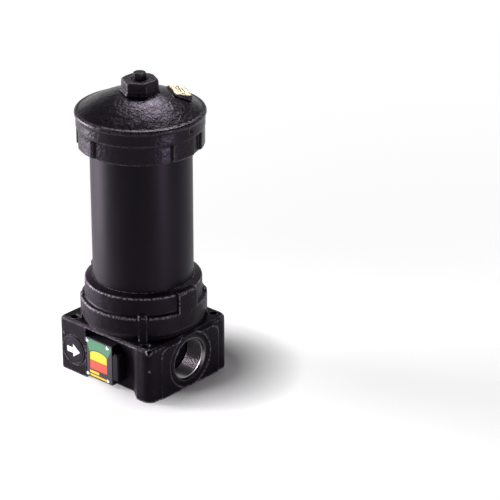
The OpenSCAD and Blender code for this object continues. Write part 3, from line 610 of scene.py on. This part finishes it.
def thicken(shape: bmesh.types.BMesh, height: float) -> None:
    """Pull all flat faces up into closed plates that stand on the XY plane.

    Args:
        shape: The shape with flat faces that look up.
        height: Thickness of the plates in metres.
    """
    pulled = bmesh.ops.extrude_face_region(shape, geom=shape.faces[:], use_keep_orig=True)
    moved = [item for item in pulled["geom"] if isinstance(item, bmesh.types.BMVert)]
    bmesh.ops.translate(shape, verts=moved, vec=(0.0, 0.0, height))
    bmesh.ops.recalc_face_normals(shape, faces=shape.faces[:])


def stick_on_front(shape: bmesh.types.BMesh, film: float, place: Vector) -> None:
    """Thicken flat fields and stand them up at a place, facing -Y.

    Args:
        shape: Fields in the XY plane, with Y for up.
        film: Their thickness in metres.
        place: Where the XY plane's origin goes.
    """
    thicken(shape, film)
    upright = Matrix.Rotation(math.pi / 2.0, 3, "X")
    bmesh.ops.rotate(shape, verts=shape.verts[:], cent=ORIGIN, matrix=upright)
    bmesh.ops.translate(shape, verts=shape.verts[:], vec=place)


def profile_line(shape: bmesh.types.BMesh, profile: list[Point], axis: Vector,
                 closed: bool) -> list[bmesh.types.BMVert | bmesh.types.BMEdge]:
    """Add a profile that is to be spun round an axis through the origin.

    Args:
        shape: The shape that gets the profile.
        profile: Points as distance along the axis and radius, in metres.
        axis: Direction of the axis, +X or +Z.
        closed: Whether the profile is a closed loop.

    Returns:
        The profile's corners and edges.
    """
    verts = [shape.verts.new((along, 0.0, radius) if axis == AXIS_X else (radius, 0.0, along))
             for along, radius in profile]
    pairs = list(zip(verts, verts[1:])) + ([(verts[-1], verts[0])] if closed else [])
    return verts + [shape.edges.new(pair) for pair in pairs]


def turned(profile: list[Point]) -> bmesh.types.BMesh:
    """Spin a closed profile round the X axis into a ring.

    Args:
        profile: Points as distance along the axis and radius, in metres.

    Returns:
        The ring's shape.
    """
    shape = bmesh.new()
    line = profile_line(shape, profile, AXIS_X, closed=True)
    bmesh.ops.spin(shape, geom=line, cent=ORIGIN, axis=AXIS_X, angle=2.0 * math.pi,
                   steps=RING_STEPS, use_merge=True)
    bmesh.ops.recalc_face_normals(shape, faces=shape.faces[:])
    return shape


@dataclass(frozen=True)
class Thread:
    """Surface of a screw thread with flat roots and crests.

    Attributes:
        start: Where it starts along its axis.
        root_r: Radius of its roots.
        crest_r: Radius of its crests.
        pitch: Its pitch.
        turns: Number of its turns.
        crest_at: Share of the pitch at which the crest starts.
        steps: Steps of each turn.
    """

    start: float
    root_r: float
    crest_r: float
    pitch: float
    turns: int
    crest_at: float
    steps: int

    def surface(self, axis: Vector, inwards: bool) -> bmesh.types.BMesh:
        """Spin one pitch of the profile into the whole thread.

        Args:
            axis: Direction of the axis through the origin, +X or +Z.
            inwards: Whether the faces look towards the axis.

        Returns:
            The thread's surface.
        """
        shape = bmesh.new()
        line = profile_line(shape, self._profile(), axis, closed=False)
        bmesh.ops.spin(shape, geom=line, cent=ORIGIN, axis=axis,
                       dvec=axis * (self.pitch / self.steps), angle=2.0 * math.pi * self.turns,
                       steps=self.turns * self.steps)
        bmesh.ops.remove_doubles(shape, verts=shape.verts[:], dist=0.02 * MM)
        self._face_axis(shape, axis, inwards)
        return shape

    def _profile(self) -> list[Point]:
        """Return one pitch as distances along the axis and radii."""
        flat, flank = 0.12 * self.pitch, self.crest_at * self.pitch
        end = self.start + self.pitch
        return [(self.start, self.root_r), (self.start + flat, self.root_r),
                (self.start + flank, self.crest_r), (end - flank, self.crest_r),
                (end - flat, self.root_r), (end, self.root_r)]

    @staticmethod
    def _face_axis(shape: bmesh.types.BMesh, axis: Vector, inwards: bool) -> None:
        """Turn the surface's faces towards its axis or away from it.

        Args:
            shape: The surface.
            axis: Direction of the axis.
            inwards: Whether the faces look towards the axis.
        """
        bmesh.ops.recalc_face_normals(shape, faces=shape.faces[:])
        balance = 0.0
        for face in shape.faces:
            middle = face.calc_center_median()
            outward = middle - axis * middle.dot(axis)
            balance += face.calc_area() * face.normal.dot(outward.normalized())
        if (balance < 0.0) != inwards:
            bmesh.ops.reverse_faces(shape, faces=shape.faces[:])


@dataclass
class CastShell:
    """Softened copy of a cast solid, with the rounded edges of a sand casting.

    Attributes:
        node: The solid that the copy stands for.
        body: The body that it rides on.
        finish: Its finish.
        keep: Share of the faces that is kept.
        flat_foot: Whether the lowest points are kept at the floor.
        voxel: Size of the remesh's voxels in metres.
        passes: Passes of smoothing.
    """

    node: str
    body: Body
    finish: CastPaint
    keep: float
    flat_foot: bool = False
    voxel: float = 0.9 * MM
    passes: int = 4

    def build(self) -> None:
        """Build the shell and hide the solid that it stands for."""
        name = f"{self.node}_casting"
        shell = new_object(name, finished_mesh(copied_shape(self.node), name))
        self._soften(shell)
        shell.data.shade_smooth()
        shell.data.materials.clear()
        shell.data.materials.append(material(self.finish))
        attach(shell, self.body.value)
        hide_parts(self.node)
        log.info("shell %s: %d faces", shell.name, len(shell.data.polygons))

    def _soften(self, shell: bpy.types.Object) -> None:
        """Remesh the copy, smooth it and thin it out, all in its own mesh.

        Args:
            shell: The copy's object.
        """
        remesh = shell.modifiers.new("voxels", "REMESH")
        remesh.mode = "VOXEL"
        remesh.voxel_size = self.voxel
        remesh.adaptivity = 0.0
        smooth = shell.modifiers.new("soften", "SMOOTH")
        smooth.factor = 0.5
        smooth.iterations = self.passes
        thin = shell.modifiers.new("thin", "DECIMATE")
        thin.ratio = self.keep
        graph = bpy.context.evaluated_depsgraph_get()
        softened = bpy.data.meshes.new_from_object(shell.evaluated_get(graph))
        shell.modifiers.clear()
        shell.data = softened
        if self.flat_foot:
            foot_z = 0.75 * self.voxel
            for vert in softened.vertices:
                if vert.co.z < foot_z:
                    vert.co.z = 0.0


@dataclass
class PressedSpring:
    """Spring that a joint presses together from above.

    Attributes:
        node: The solid that the spring stands for.
        joint: The joint that presses it; not used.
    """

    node: str
    joint: str

    def build(self) -> None:
        """Build the spring as a copy of its solid and hide the solid; the copy keeps its length."""
        coil = add_piece(f"{self.node}_coil", copied_shape(self.node), SPRING_STEEL,
                         Body.HOUSING)
        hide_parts(self.node)
        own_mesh(coil)


@dataclass
class Port:
    """Machined face, mouth and thread of one port.

    Attributes:
        name: Name of the port's mount in the record.
        sunk: Depth of the machined face in the base's end.
        face_r: Radius of the machined face.
        mouth_r: Radius of the seal chamfer at the face.
        mouth_depth: Depth of the seal chamfer.
        root_gap: Gap between the thread's roots and the bore's wall.
        ridge: Height of the thread's ridges.
        pitch: Pitch of the thread.
        turns: Turns of the thread.
        side: +1 for the port on +X, -1 for the one on -X, from the record.
        height: Height of its axis, from the record.
        root_r: Radius of the thread's roots, from the record.
        face_x: Distance of the machined face from the middle, from the base.
    """

    name: str
    sunk: float = 1.6 * MM
    face_r: float = 31.6 * MM
    mouth_r: float = 25.4 * MM
    mouth_depth: float = 3.2 * MM
    root_gap: float = 0.1 * MM
    ridge: float = 1.4 * MM
    pitch: float = 2.309 * MM
    turns: int = 10
    side: int = field(init=False)
    height: float = field(init=False)
    root_r: float = field(init=False)
    face_x: float = field(init=False)

    def __post_init__(self) -> None:
        """Take the port's place and size from its mount and from the base."""
        mount = next(row for row in frame["record"]["mounts"] if row["name"] == self.name)
        self.side = mount["axis"][0]
        self.height = mount["pos_m"][2]
        self.root_r = mount["dims"]["r_mm"] * MM - self.root_gap
        self.face_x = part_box("base_head")[1].x - self.sunk

    def build(self) -> None:
        """Build the port's face, its mouth and its thread."""
        self._place(self._face(), "face", MACHINED_PAINT)
        self._place(self._mouth(), "mouth", THREAD_STEEL)
        self._place(self._thread(), "thread", THREAD_STEEL)

    def _place(self, shape: bmesh.types.BMesh, part: str, finish: Finish) -> None:
        """Move a shape made on the +X axis to this port and make it a piece.

        Args:
            shape: The shape.
            part: Name of the part of the port.
            finish: Its finish.
        """
        if self.side < 0:
            bmesh.ops.rotate(shape, verts=shape.verts[:], cent=ORIGIN,
                             matrix=Matrix.Rotation(math.pi, 3, "Z"))
        bmesh.ops.translate(shape, verts=shape.verts[:], vec=(0.0, 0.0, self.height))
        add_piece(f"{self.name}_{part}", shape, finish, Body.HOUSING)

    def _face(self) -> bmesh.types.BMesh:
        """Return the machined ring with its raised rim."""
        rise, rim = 0.5 * MM, 0.4 * MM
        back_x = self.face_x - self.sunk
        return turned([(back_x, self.mouth_r), (self.face_x, self.mouth_r),
                       (self.face_x, self.face_r - rise), (self.face_x + rise, self.face_r),
                       (self.face_x + rise, self.face_r + rim), (back_x, self.face_r + rim)])

    def _mouth(self) -> bmesh.types.BMesh:
        """Return the bare seal chamfer between face and thread."""
        wall, edge = 0.6 * MM, 0.15 * MM
        inner_x, outer_x = self.face_x - self.mouth_depth, self.face_x + edge
        return turned([(inner_x, self.root_r - edge), (outer_x, self.mouth_r - edge),
                       (outer_x, self.mouth_r + 2.0 * edge), (inner_x, self.root_r + wall)])

    def _thread(self) -> bmesh.types.BMesh:
        """Return the internal thread's surface, which ends half a pitch inside the mouth."""
        start_x = self.face_x - self.mouth_depth - (self.turns + 0.5) * self.pitch
        thread = Thread(start_x, self.root_r, self.root_r - self.ridge, self.pitch, self.turns,
                        crest_at=0.42, steps=120)
        return thread.surface(AXIS_X, inwards=True)


@dataclass
class TubeThread:
    """Thread on the tube's upper end, which the cover screws onto.

    Attributes:
        below_top: Distance of its lower end from the tube's top.
        root_in: Depth of its roots below the tube's surface.
        crest_in: Depth of its crests below that surface.
        pitch: Pitch of the thread.
        turns: Turns of the thread.
    """

    below_top: float = 34.3 * MM
    root_in: float = 1.3 * MM
    crest_in: float = 0.1 * MM
    pitch: float = 4.0 * MM
    turns: int = 5

    def build(self) -> None:
        """Build the thread."""
        _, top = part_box("housing_tube")
        thread = Thread(top.z - self.below_top, top.x - self.root_in, top.x - self.crest_in,
                        self.pitch, self.turns, crest_at=0.36, steps=RING_STEPS)
        add_piece("tube_thread", thread.surface(AXIS_Z, inwards=False), THREAD_STEEL,
                  Body.HOUSING)


@dataclass
class LabelPrint:
    """Fields of colour on the indicator's label, in millimetres.

    Attributes:
        aside: How far the fields' middle lies from the plate's middle, across.
        film: Thickness of the print.
        half_w: Half the width of the yellow and the red field.
        yellow_z: Height of the yellow field's foot over the base's underside.
        arch_z: Height of the foot of the arch over it.
        arch_h: Rise of the arch.
        rim: Width of the black rim between the arch and the green field.
        green_x: Left and right end of the green field.
        shoulder_z: Heights of its left and its right end.
        top_z: Height of its top.
        red_z: Heights of the red field's foot and top.
        bars: Plain bars in place of words, by their ends, foot and top.
        cuts: Cuts of the red field's and the bars' round corners.
    """

    aside: float = -1.3
    film: float = 0.12
    half_w: float = 13.2
    yellow_z: float = 26.0
    arch_z: float = 33.8
    arch_h: float = 4.6
    rim: float = 1.0
    green_x: Span = (-18.2, 20.2)
    shoulder_z: Span = (48.0, 46.0)
    top_z: float = 51.2
    red_z: Span = (14.6, 25.2)
    bars: tuple[tuple[Span, Span], ...] = (((-14.0, 0.5), (9.4, 12.4)), ((-14.0, 13.2), (5.4, 7.8)))
    cuts: Span = (0.6, 0.3)

    def build(self) -> None:
        """Build the green, yellow and red fields and the plain bars."""
        (left, right), (left_z, right_z) = self.green_x, self.shoulder_z
        green = self._arch(self.rim)[::-1] + [(right, right_z), (right, self.top_z),
                                              (left, self.top_z), (left, left_z)]
        yellow = [(-self.half_w, self.yellow_z), (self.half_w, self.yellow_z)] + self._arch(0.0)
        red = box_corners((-self.half_w, self.half_w), self.red_z)
        bars = [(box_corners(ends, heights), self.cuts[1]) for ends, heights in self.bars]
        low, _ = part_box("indicator_label")
        place = Vector((box_middle("indicator_label").x + self.aside * MM, low.y, 0.0))
        for name, finish, outlines in (("label_green", LABEL_GREEN, [(green, 0.0)]),
                                       ("label_yellow", LABEL_YELLOW, [(yellow, 0.0), *bars]),
                                       ("label_red", LABEL_RED, [(red, self.cuts[0])])):
            shape = bmesh.new()
            for corners, round_off in outlines:
                outline_face(shape, corners, round_off)
            stick_on_front(shape, self.film * MM, place)
            add_piece(name, shape, finish, Body.HOUSING)

    def _arch(self, wider: float) -> list[Point]:
        """Return the arch over the yellow field, from right to left.

        Args:
            wider: How much wider it is on each side, and how much higher it stands.

        Returns:
            Points across and up.
        """
        steps = 10
        angles = [math.pi * step / steps for step in range(steps + 1)]
        return [((self.half_w + wider) * math.cos(angle),
                 self.arch_z + wider + self.arch_h * math.sin(angle)) for angle in angles]


@dataclass
class DiscArrow:
    """Plain flow arrow on the round disc, in millimetres.

    Attributes:
        aside: How far the arrow's middle lies from the disc's middle, across and up.
        sunk: Depth of the disc's face behind its rim.
        film: Thickness of the arrow.
        along: Places of its tail, its neck and its tip.
        halves: Half the widths of its shaft and its head.
        round_off: Cut of its round corners.
    """

    aside: Point = (-0.4, -0.2)
    sunk: float = 0.2
    film: float = 0.15
    along: tuple[float, float, float] = (-10.0, -0.5, 10.5)
    halves: Span = (3.4, 8.0)
    round_off: float = 0.3

    def build(self) -> None:
        """Build the arrow."""
        (tail, neck, tip), (shaft, head) = self.along, self.halves
        upper = [(tip, 0.0), (neck, head), (neck, shaft), (tail, shaft)]
        lower = [(x, -z) for x, z in upper[:0:-1]]
        shape = bmesh.new()
        outline_face(shape, lower + upper, self.round_off, segments=2)
        low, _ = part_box("side_disc")
        middle = box_middle("side_disc")
        place = Vector((middle.x + self.aside[0] * MM, low.y + self.sunk * MM,
                        middle.z + self.aside[1] * MM))
        stick_on_front(shape, self.film * MM, place)
        add_piece("disc_arrow", shape, MARK_WHITE, Body.HOUSING)


@dataclass
class PlatePrint:
    """Plain frame and rows on the nameplate, in millimetres.

    Attributes:
        length: Length of the plate.
        width: Width of the plate.
        thick: Thickness of the plate.
        direction: Direction of the plate on the cover, in degrees from +X.
        tilt: Its slope down the dome, in degrees.
        twist: Its turn about its own upright, in degrees.
        film: Thickness of the print.
        inset: Distances of the frame from the plate's long edges and its short ones.
        line: Width of the frame's lines.
        rows: Places of the rows across the plate.
    """

    length: float = 28.0
    width: float = 18.5
    thick: float = 0.8
    direction: float = 58.0
    tilt: float = 12.0
    twist: float = 1.0
    film: float = 0.08
    inset: Span = (1.2, 4.6)
    line: float = 0.45
    rows: tuple[float, ...] = (-3.6, 0.0, 3.6)

    def build(self) -> None:
        """Build the frame and the rows."""
        shape = bmesh.new()
        half_w, half_l = self.width / 2.0 - self.inset[0], self.length / 2.0 - self.inset[1]
        for side in (-1.0, 1.0):
            self._bar(shape, side * half_w, 0.0, self.line, 2.0 * half_l)
            self._bar(shape, 0.0, side * half_l, 2.0 * half_w + self.line, self.line)
        row_shift, row_w = 0.8, 1.5
        for row in self.rows:
            self._bar(shape, row, row_shift, row_w, 1.5 * half_l)
        thicken(shape, self.film * MM)
        bmesh.ops.transform(shape, verts=shape.verts[:], matrix=self._upper_face())
        add_piece("plate_print", shape, PLATE_BROWN, Body.COVER)

    def _upper_face(self) -> Matrix:
        """Return the place of the plate's upper face, from the plate's own solid."""
        turn = (Matrix.Rotation(math.radians(self.direction), 4, "Z")
                @ Matrix.Rotation(math.radians(self.tilt), 4, "Y")
                @ Matrix.Rotation(math.radians(self.twist), 4, "Z"))
        lift = Matrix.Translation((0.0, 0.0, self.thick * MM / 2.0))
        return Matrix.Translation(box_middle("nameplate")) @ turn @ lift

    @staticmethod
    def _bar(shape: bmesh.types.BMesh, x: float, y: float, width: float, length: float) -> None:
        """Add a flat bar round a middle point."""
        half_w, half_l = width / 2.0, length / 2.0
        outline_face(shape, box_corners((x - half_w, x + half_w), (y - half_l, y + half_l)))


PAINT_LIGHT = (1.0, 0.9, 1.0)
PALE_LIGHT = (1.0, 0.94, 1.0)


@dataclass(frozen=True)
class Lamp:
    """Softbox of the studio, placed as the camera sees the object.

    Attributes:
        name: Name of the lamp.
        right: Distance to the right of the object in metres.
        front: Distance from the object towards the camera in metres.
        up: Height in metres.
        width: Width of the softbox in metres.
        height: Height of the softbox in metres.
        watts: Its power.
        colour: Its colour.
        spread: Angle that its grid leaves open, in degrees.
        aim: Height on the object's axis that it looks at, in metres.
    """

    name: str
    right: float
    front: float
    up: float
    width: float
    height: float
    watts: float
    colour: Colour = (1.0, 1.0, 1.0)
    spread: float = 180.0
    aim: float = 0.17


LAMPS = (
    Lamp("strip_left", right=-0.48, front=-0.1, up=0.2, width=0.3, height=0.4, watts=1.9,
         colour=PAINT_LIGHT, spread=60.0, aim=0.16),
    Lamp("near_top", right=0.03, front=-0.25, up=0.68, width=0.32, height=0.2, watts=0.27,
         colour=PALE_LIGHT, spread=32.0, aim=0.33),
    Lamp("near_right", right=0.33, front=-0.3, up=0.5, width=0.07, height=0.07, watts=0.05,
         spread=50.0, aim=0.04),
    Lamp("key_left", right=-1.6, front=-0.2, up=1.1, width=0.7, height=0.7, watts=15.0),
    Lamp("fill_left", right=-1.2, front=1.3, up=1.0, width=1.0, height=1.0, watts=4.0),
    Lamp("strip_right", right=0.55, front=0.5, up=0.14, width=0.07, height=0.22, watts=0.3,
         colour=PAINT_LIGHT, spread=50.0),
)


@dataclass
class Studio:
    """White floor, softboxes and the camera at the photograph's angle.

    Attributes:
        azimuth: Direction of the camera in radians, 0 looks along +Y.
        pitch: How far the camera looks down, in radians.
        roll: Turn of the camera about its axis, in radians.
        height: Height of the camera in metres.
        distance: Distance of the camera in metres.
        aside: How far the object stands to the left of the camera's axis, in metres.
        lens_px: Focal length in pixels of the photograph.
        frame_px: Width of the photograph in pixels.
        world: Brightness of the surroundings.
        floor_r: Radius of the floor in metres.
        floor_gap: Gap between the floor and the base's underside in metres.
        floor_tones: Darkest and palest grey of the floor.
        wall_height: Height of the white wall round the floor in metres.
        glow_near: Light that the floor adds beside the object, where its real shadow lies; held low
            there, it paints the shadow darker.
        glow_aside: Light that it adds outside the painted shadow.
        glow_far: Light that it adds on top of that far away.
        painted_shadow_aside: How far the painted shadow's middle lies to the right of the axis.
        painted_shadow_r: Distances from that middle between which the first light rises.
        far_r: Distances from it between which the second light rises.
    """

    azimuth: float = 0.7274
    pitch: float = 0.4297
    roll: float = 0.0023
    height: float = 1.2276
    distance: float = 2.3579
    aside: float = 0.1207
    lens_px: float = 2300.0
    frame_px: float = 500.0
    world: float = 0.1
    floor_r: float = 15.0
    floor_gap: float = 0.2 * MM
    floor_tones: Span = (0.44, 0.46)
    wall_height: float = 4.0
    glow_near: float = 0.03
    glow_aside: float = 0.87
    glow_far: float = 0.2
    painted_shadow_aside: float = 0.045
    painted_shadow_r: Span = (0.06, 0.14)
    far_r: Span = (0.4, 2.0)

    def build(self) -> None:
        """Build the floor, the lamps, the world and the camera."""
        self._floor()
        for lamp in LAMPS:
            self._lamp(lamp)
        self._world()
        self._camera()
        bpy.context.scene.view_settings.view_transform = "Standard"

    def _spot(self, right: float, front: float, up: float) -> Vector:
        """Return a place given as the camera sees it.

        Args:
            right: Distance to the right.
            front: Distance towards the camera.
            up: Height.

        Returns:
            The place in the object's frame.
        """
        sin_a, cos_a = math.sin(self.azimuth), math.cos(self.azimuth)
        return Vector((cos_a * right + sin_a * front, sin_a * right - cos_a * front, up))

    def _lamp(self, lamp: Lamp) -> None:
        """Add a softbox that looks at the object.

        Args:
            lamp: Its place, size and light.
        """
        data = bpy.data.lights.new(lamp.name, "AREA")
        data.shape = "RECTANGLE"
        data.size, data.size_y = lamp.width, lamp.height
        data.energy = lamp.watts
        data.color = lamp.colour
        data.spread = math.radians(lamp.spread)
        made = new_object(lamp.name, data)
        made.location = self._spot(lamp.right, lamp.front, lamp.up)
        made.visible_camera = False
        aim = Vector((0.0, 0.0, lamp.aim)) - made.location
        made.rotation_euler = aim.to_track_quat("-Z", "Y").to_euler()
        log.info("lamp %s: %.2f W", lamp.name, lamp.watts)

    def _floor(self) -> None:
        """Add the white floor, a wide disc just below the base, with a wall round it."""
        shape = bmesh.new()
        bmesh.ops.create_circle(shape, cap_ends=True, segments=RING_STEPS, radius=self.floor_r)
        rim = bmesh.ops.extrude_edge_only(
            shape, edges=[edge for edge in shape.edges if edge.is_boundary])
        wall_top = [item for item in rim["geom"] if isinstance(item, bmesh.types.BMVert)]
        bmesh.ops.translate(shape, verts=wall_top, vec=(0.0, 0.0, self.wall_height))
        bmesh.ops.translate(shape, verts=shape.verts[:], vec=(0.0, 0.0, -self.floor_gap))
        floor = new_object("floor", finished_mesh(shape, "floor"))
        floor.data.materials.append(self._floor_white())
        log.info("floor: %.0f m in radius", self.floor_r)

    def _floor_white(self) -> bpy.types.Material:
        """Return the floor's paint, which lights only the camera's and the mirrored view, and less
        so in a painted shadow beside the object.
        """
        graph = Graph("floor_white")
        dark, pale = self.floor_tones
        tone = graph.colours(graph.noise(0.6), (dark, dark, dark), (pale, pale, pale))
        graph.join(tone, graph.shader.inputs["Base Color"])
        graph.set(Roughness=0.9, Specular_IOR_Level=0.1, Emission_Color=(1.0, 1.0, 1.0, 1.0))
        path = graph.add("ShaderNodeLightPath")
        seen = graph.math("MAXIMUM", path.outputs["Is Camera Ray"],
                          graph.math("MAXIMUM", path.outputs["Is Glossy Ray"],
                                     path.outputs["Is Transmission Ray"]))
        # Painted shadow: the glow stays low in a disc right of the axis, and darkens the floor
        # there on top of the real shadow.
        reach = graph.add("ShaderNodeVectorMath", operation="DISTANCE")
        graph.join(graph.place, reach.inputs[0])
        reach.inputs[1].default_value = self._spot(self.painted_shadow_aside, 0.0, 0.0)
        beside = graph.spread(reach.outputs["Value"], *self.painted_shadow_r,
                              (self.glow_near, self.glow_aside))
        far = graph.spread(reach.outputs["Value"], *self.far_r, (0.0, self.glow_far))
        glow = graph.math("MULTIPLY", seen, graph.math("ADD", beside, far))
        graph.join(glow, graph.shader.inputs["Emission Strength"])
        return graph.material

    def _world(self) -> None:
        """Light the scene from all round."""
        world = bpy.data.worlds.new("surroundings")
        world.use_nodes = True
        world.node_tree.nodes["Background"].inputs["Strength"].default_value = self.world
        bpy.context.scene.world = world

    def _camera(self) -> None:
        """Add the camera at the photograph's place and angle."""
        data = bpy.data.cameras.new("camera")
        data.sensor_width = 36.0
        data.lens = self.lens_px / self.frame_px * data.sensor_width
        data.clip_start, data.clip_end = 0.05, 100.0
        camera = new_object("camera", data)
        camera.location = self._spot(self.aside, self.distance, self.height)
        ahead = self._spot(0.0, -math.cos(self.pitch), -math.sin(self.pitch))
        turn = ahead.to_track_quat("-Z", "Y").to_matrix()
        camera.rotation_euler = (turn @ Matrix.Rotation(self.roll, 3, "Z")).to_euler()
        bpy.context.scene.camera = camera
        log.info("camera: %.2f m away", self.distance)


def main() -> None:
    """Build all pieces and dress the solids."""
    logging.basicConfig(level=logging.INFO, format="%(name)s: %(message)s")
    dress_nodes()
    CastShell("base_head", Body.HOUSING, CASTING, keep=0.38, flat_foot=True).build()
    CastShell("cap", Body.COVER, COVER_CASTING, keep=0.6).build()
    PressedSpring("bypass_spring", "bypass_open").build()
    PressedSpring("indicator_spring", "indicator_trip").build()
    for name in ("outlet_port", "inlet_port"):
        Port(name).build()
    TubeThread().build()
    LabelPrint().build()
    DiscArrow().build()
    PlatePrint().build()
    Studio().build()


if __name__ == "__main__":
    main()
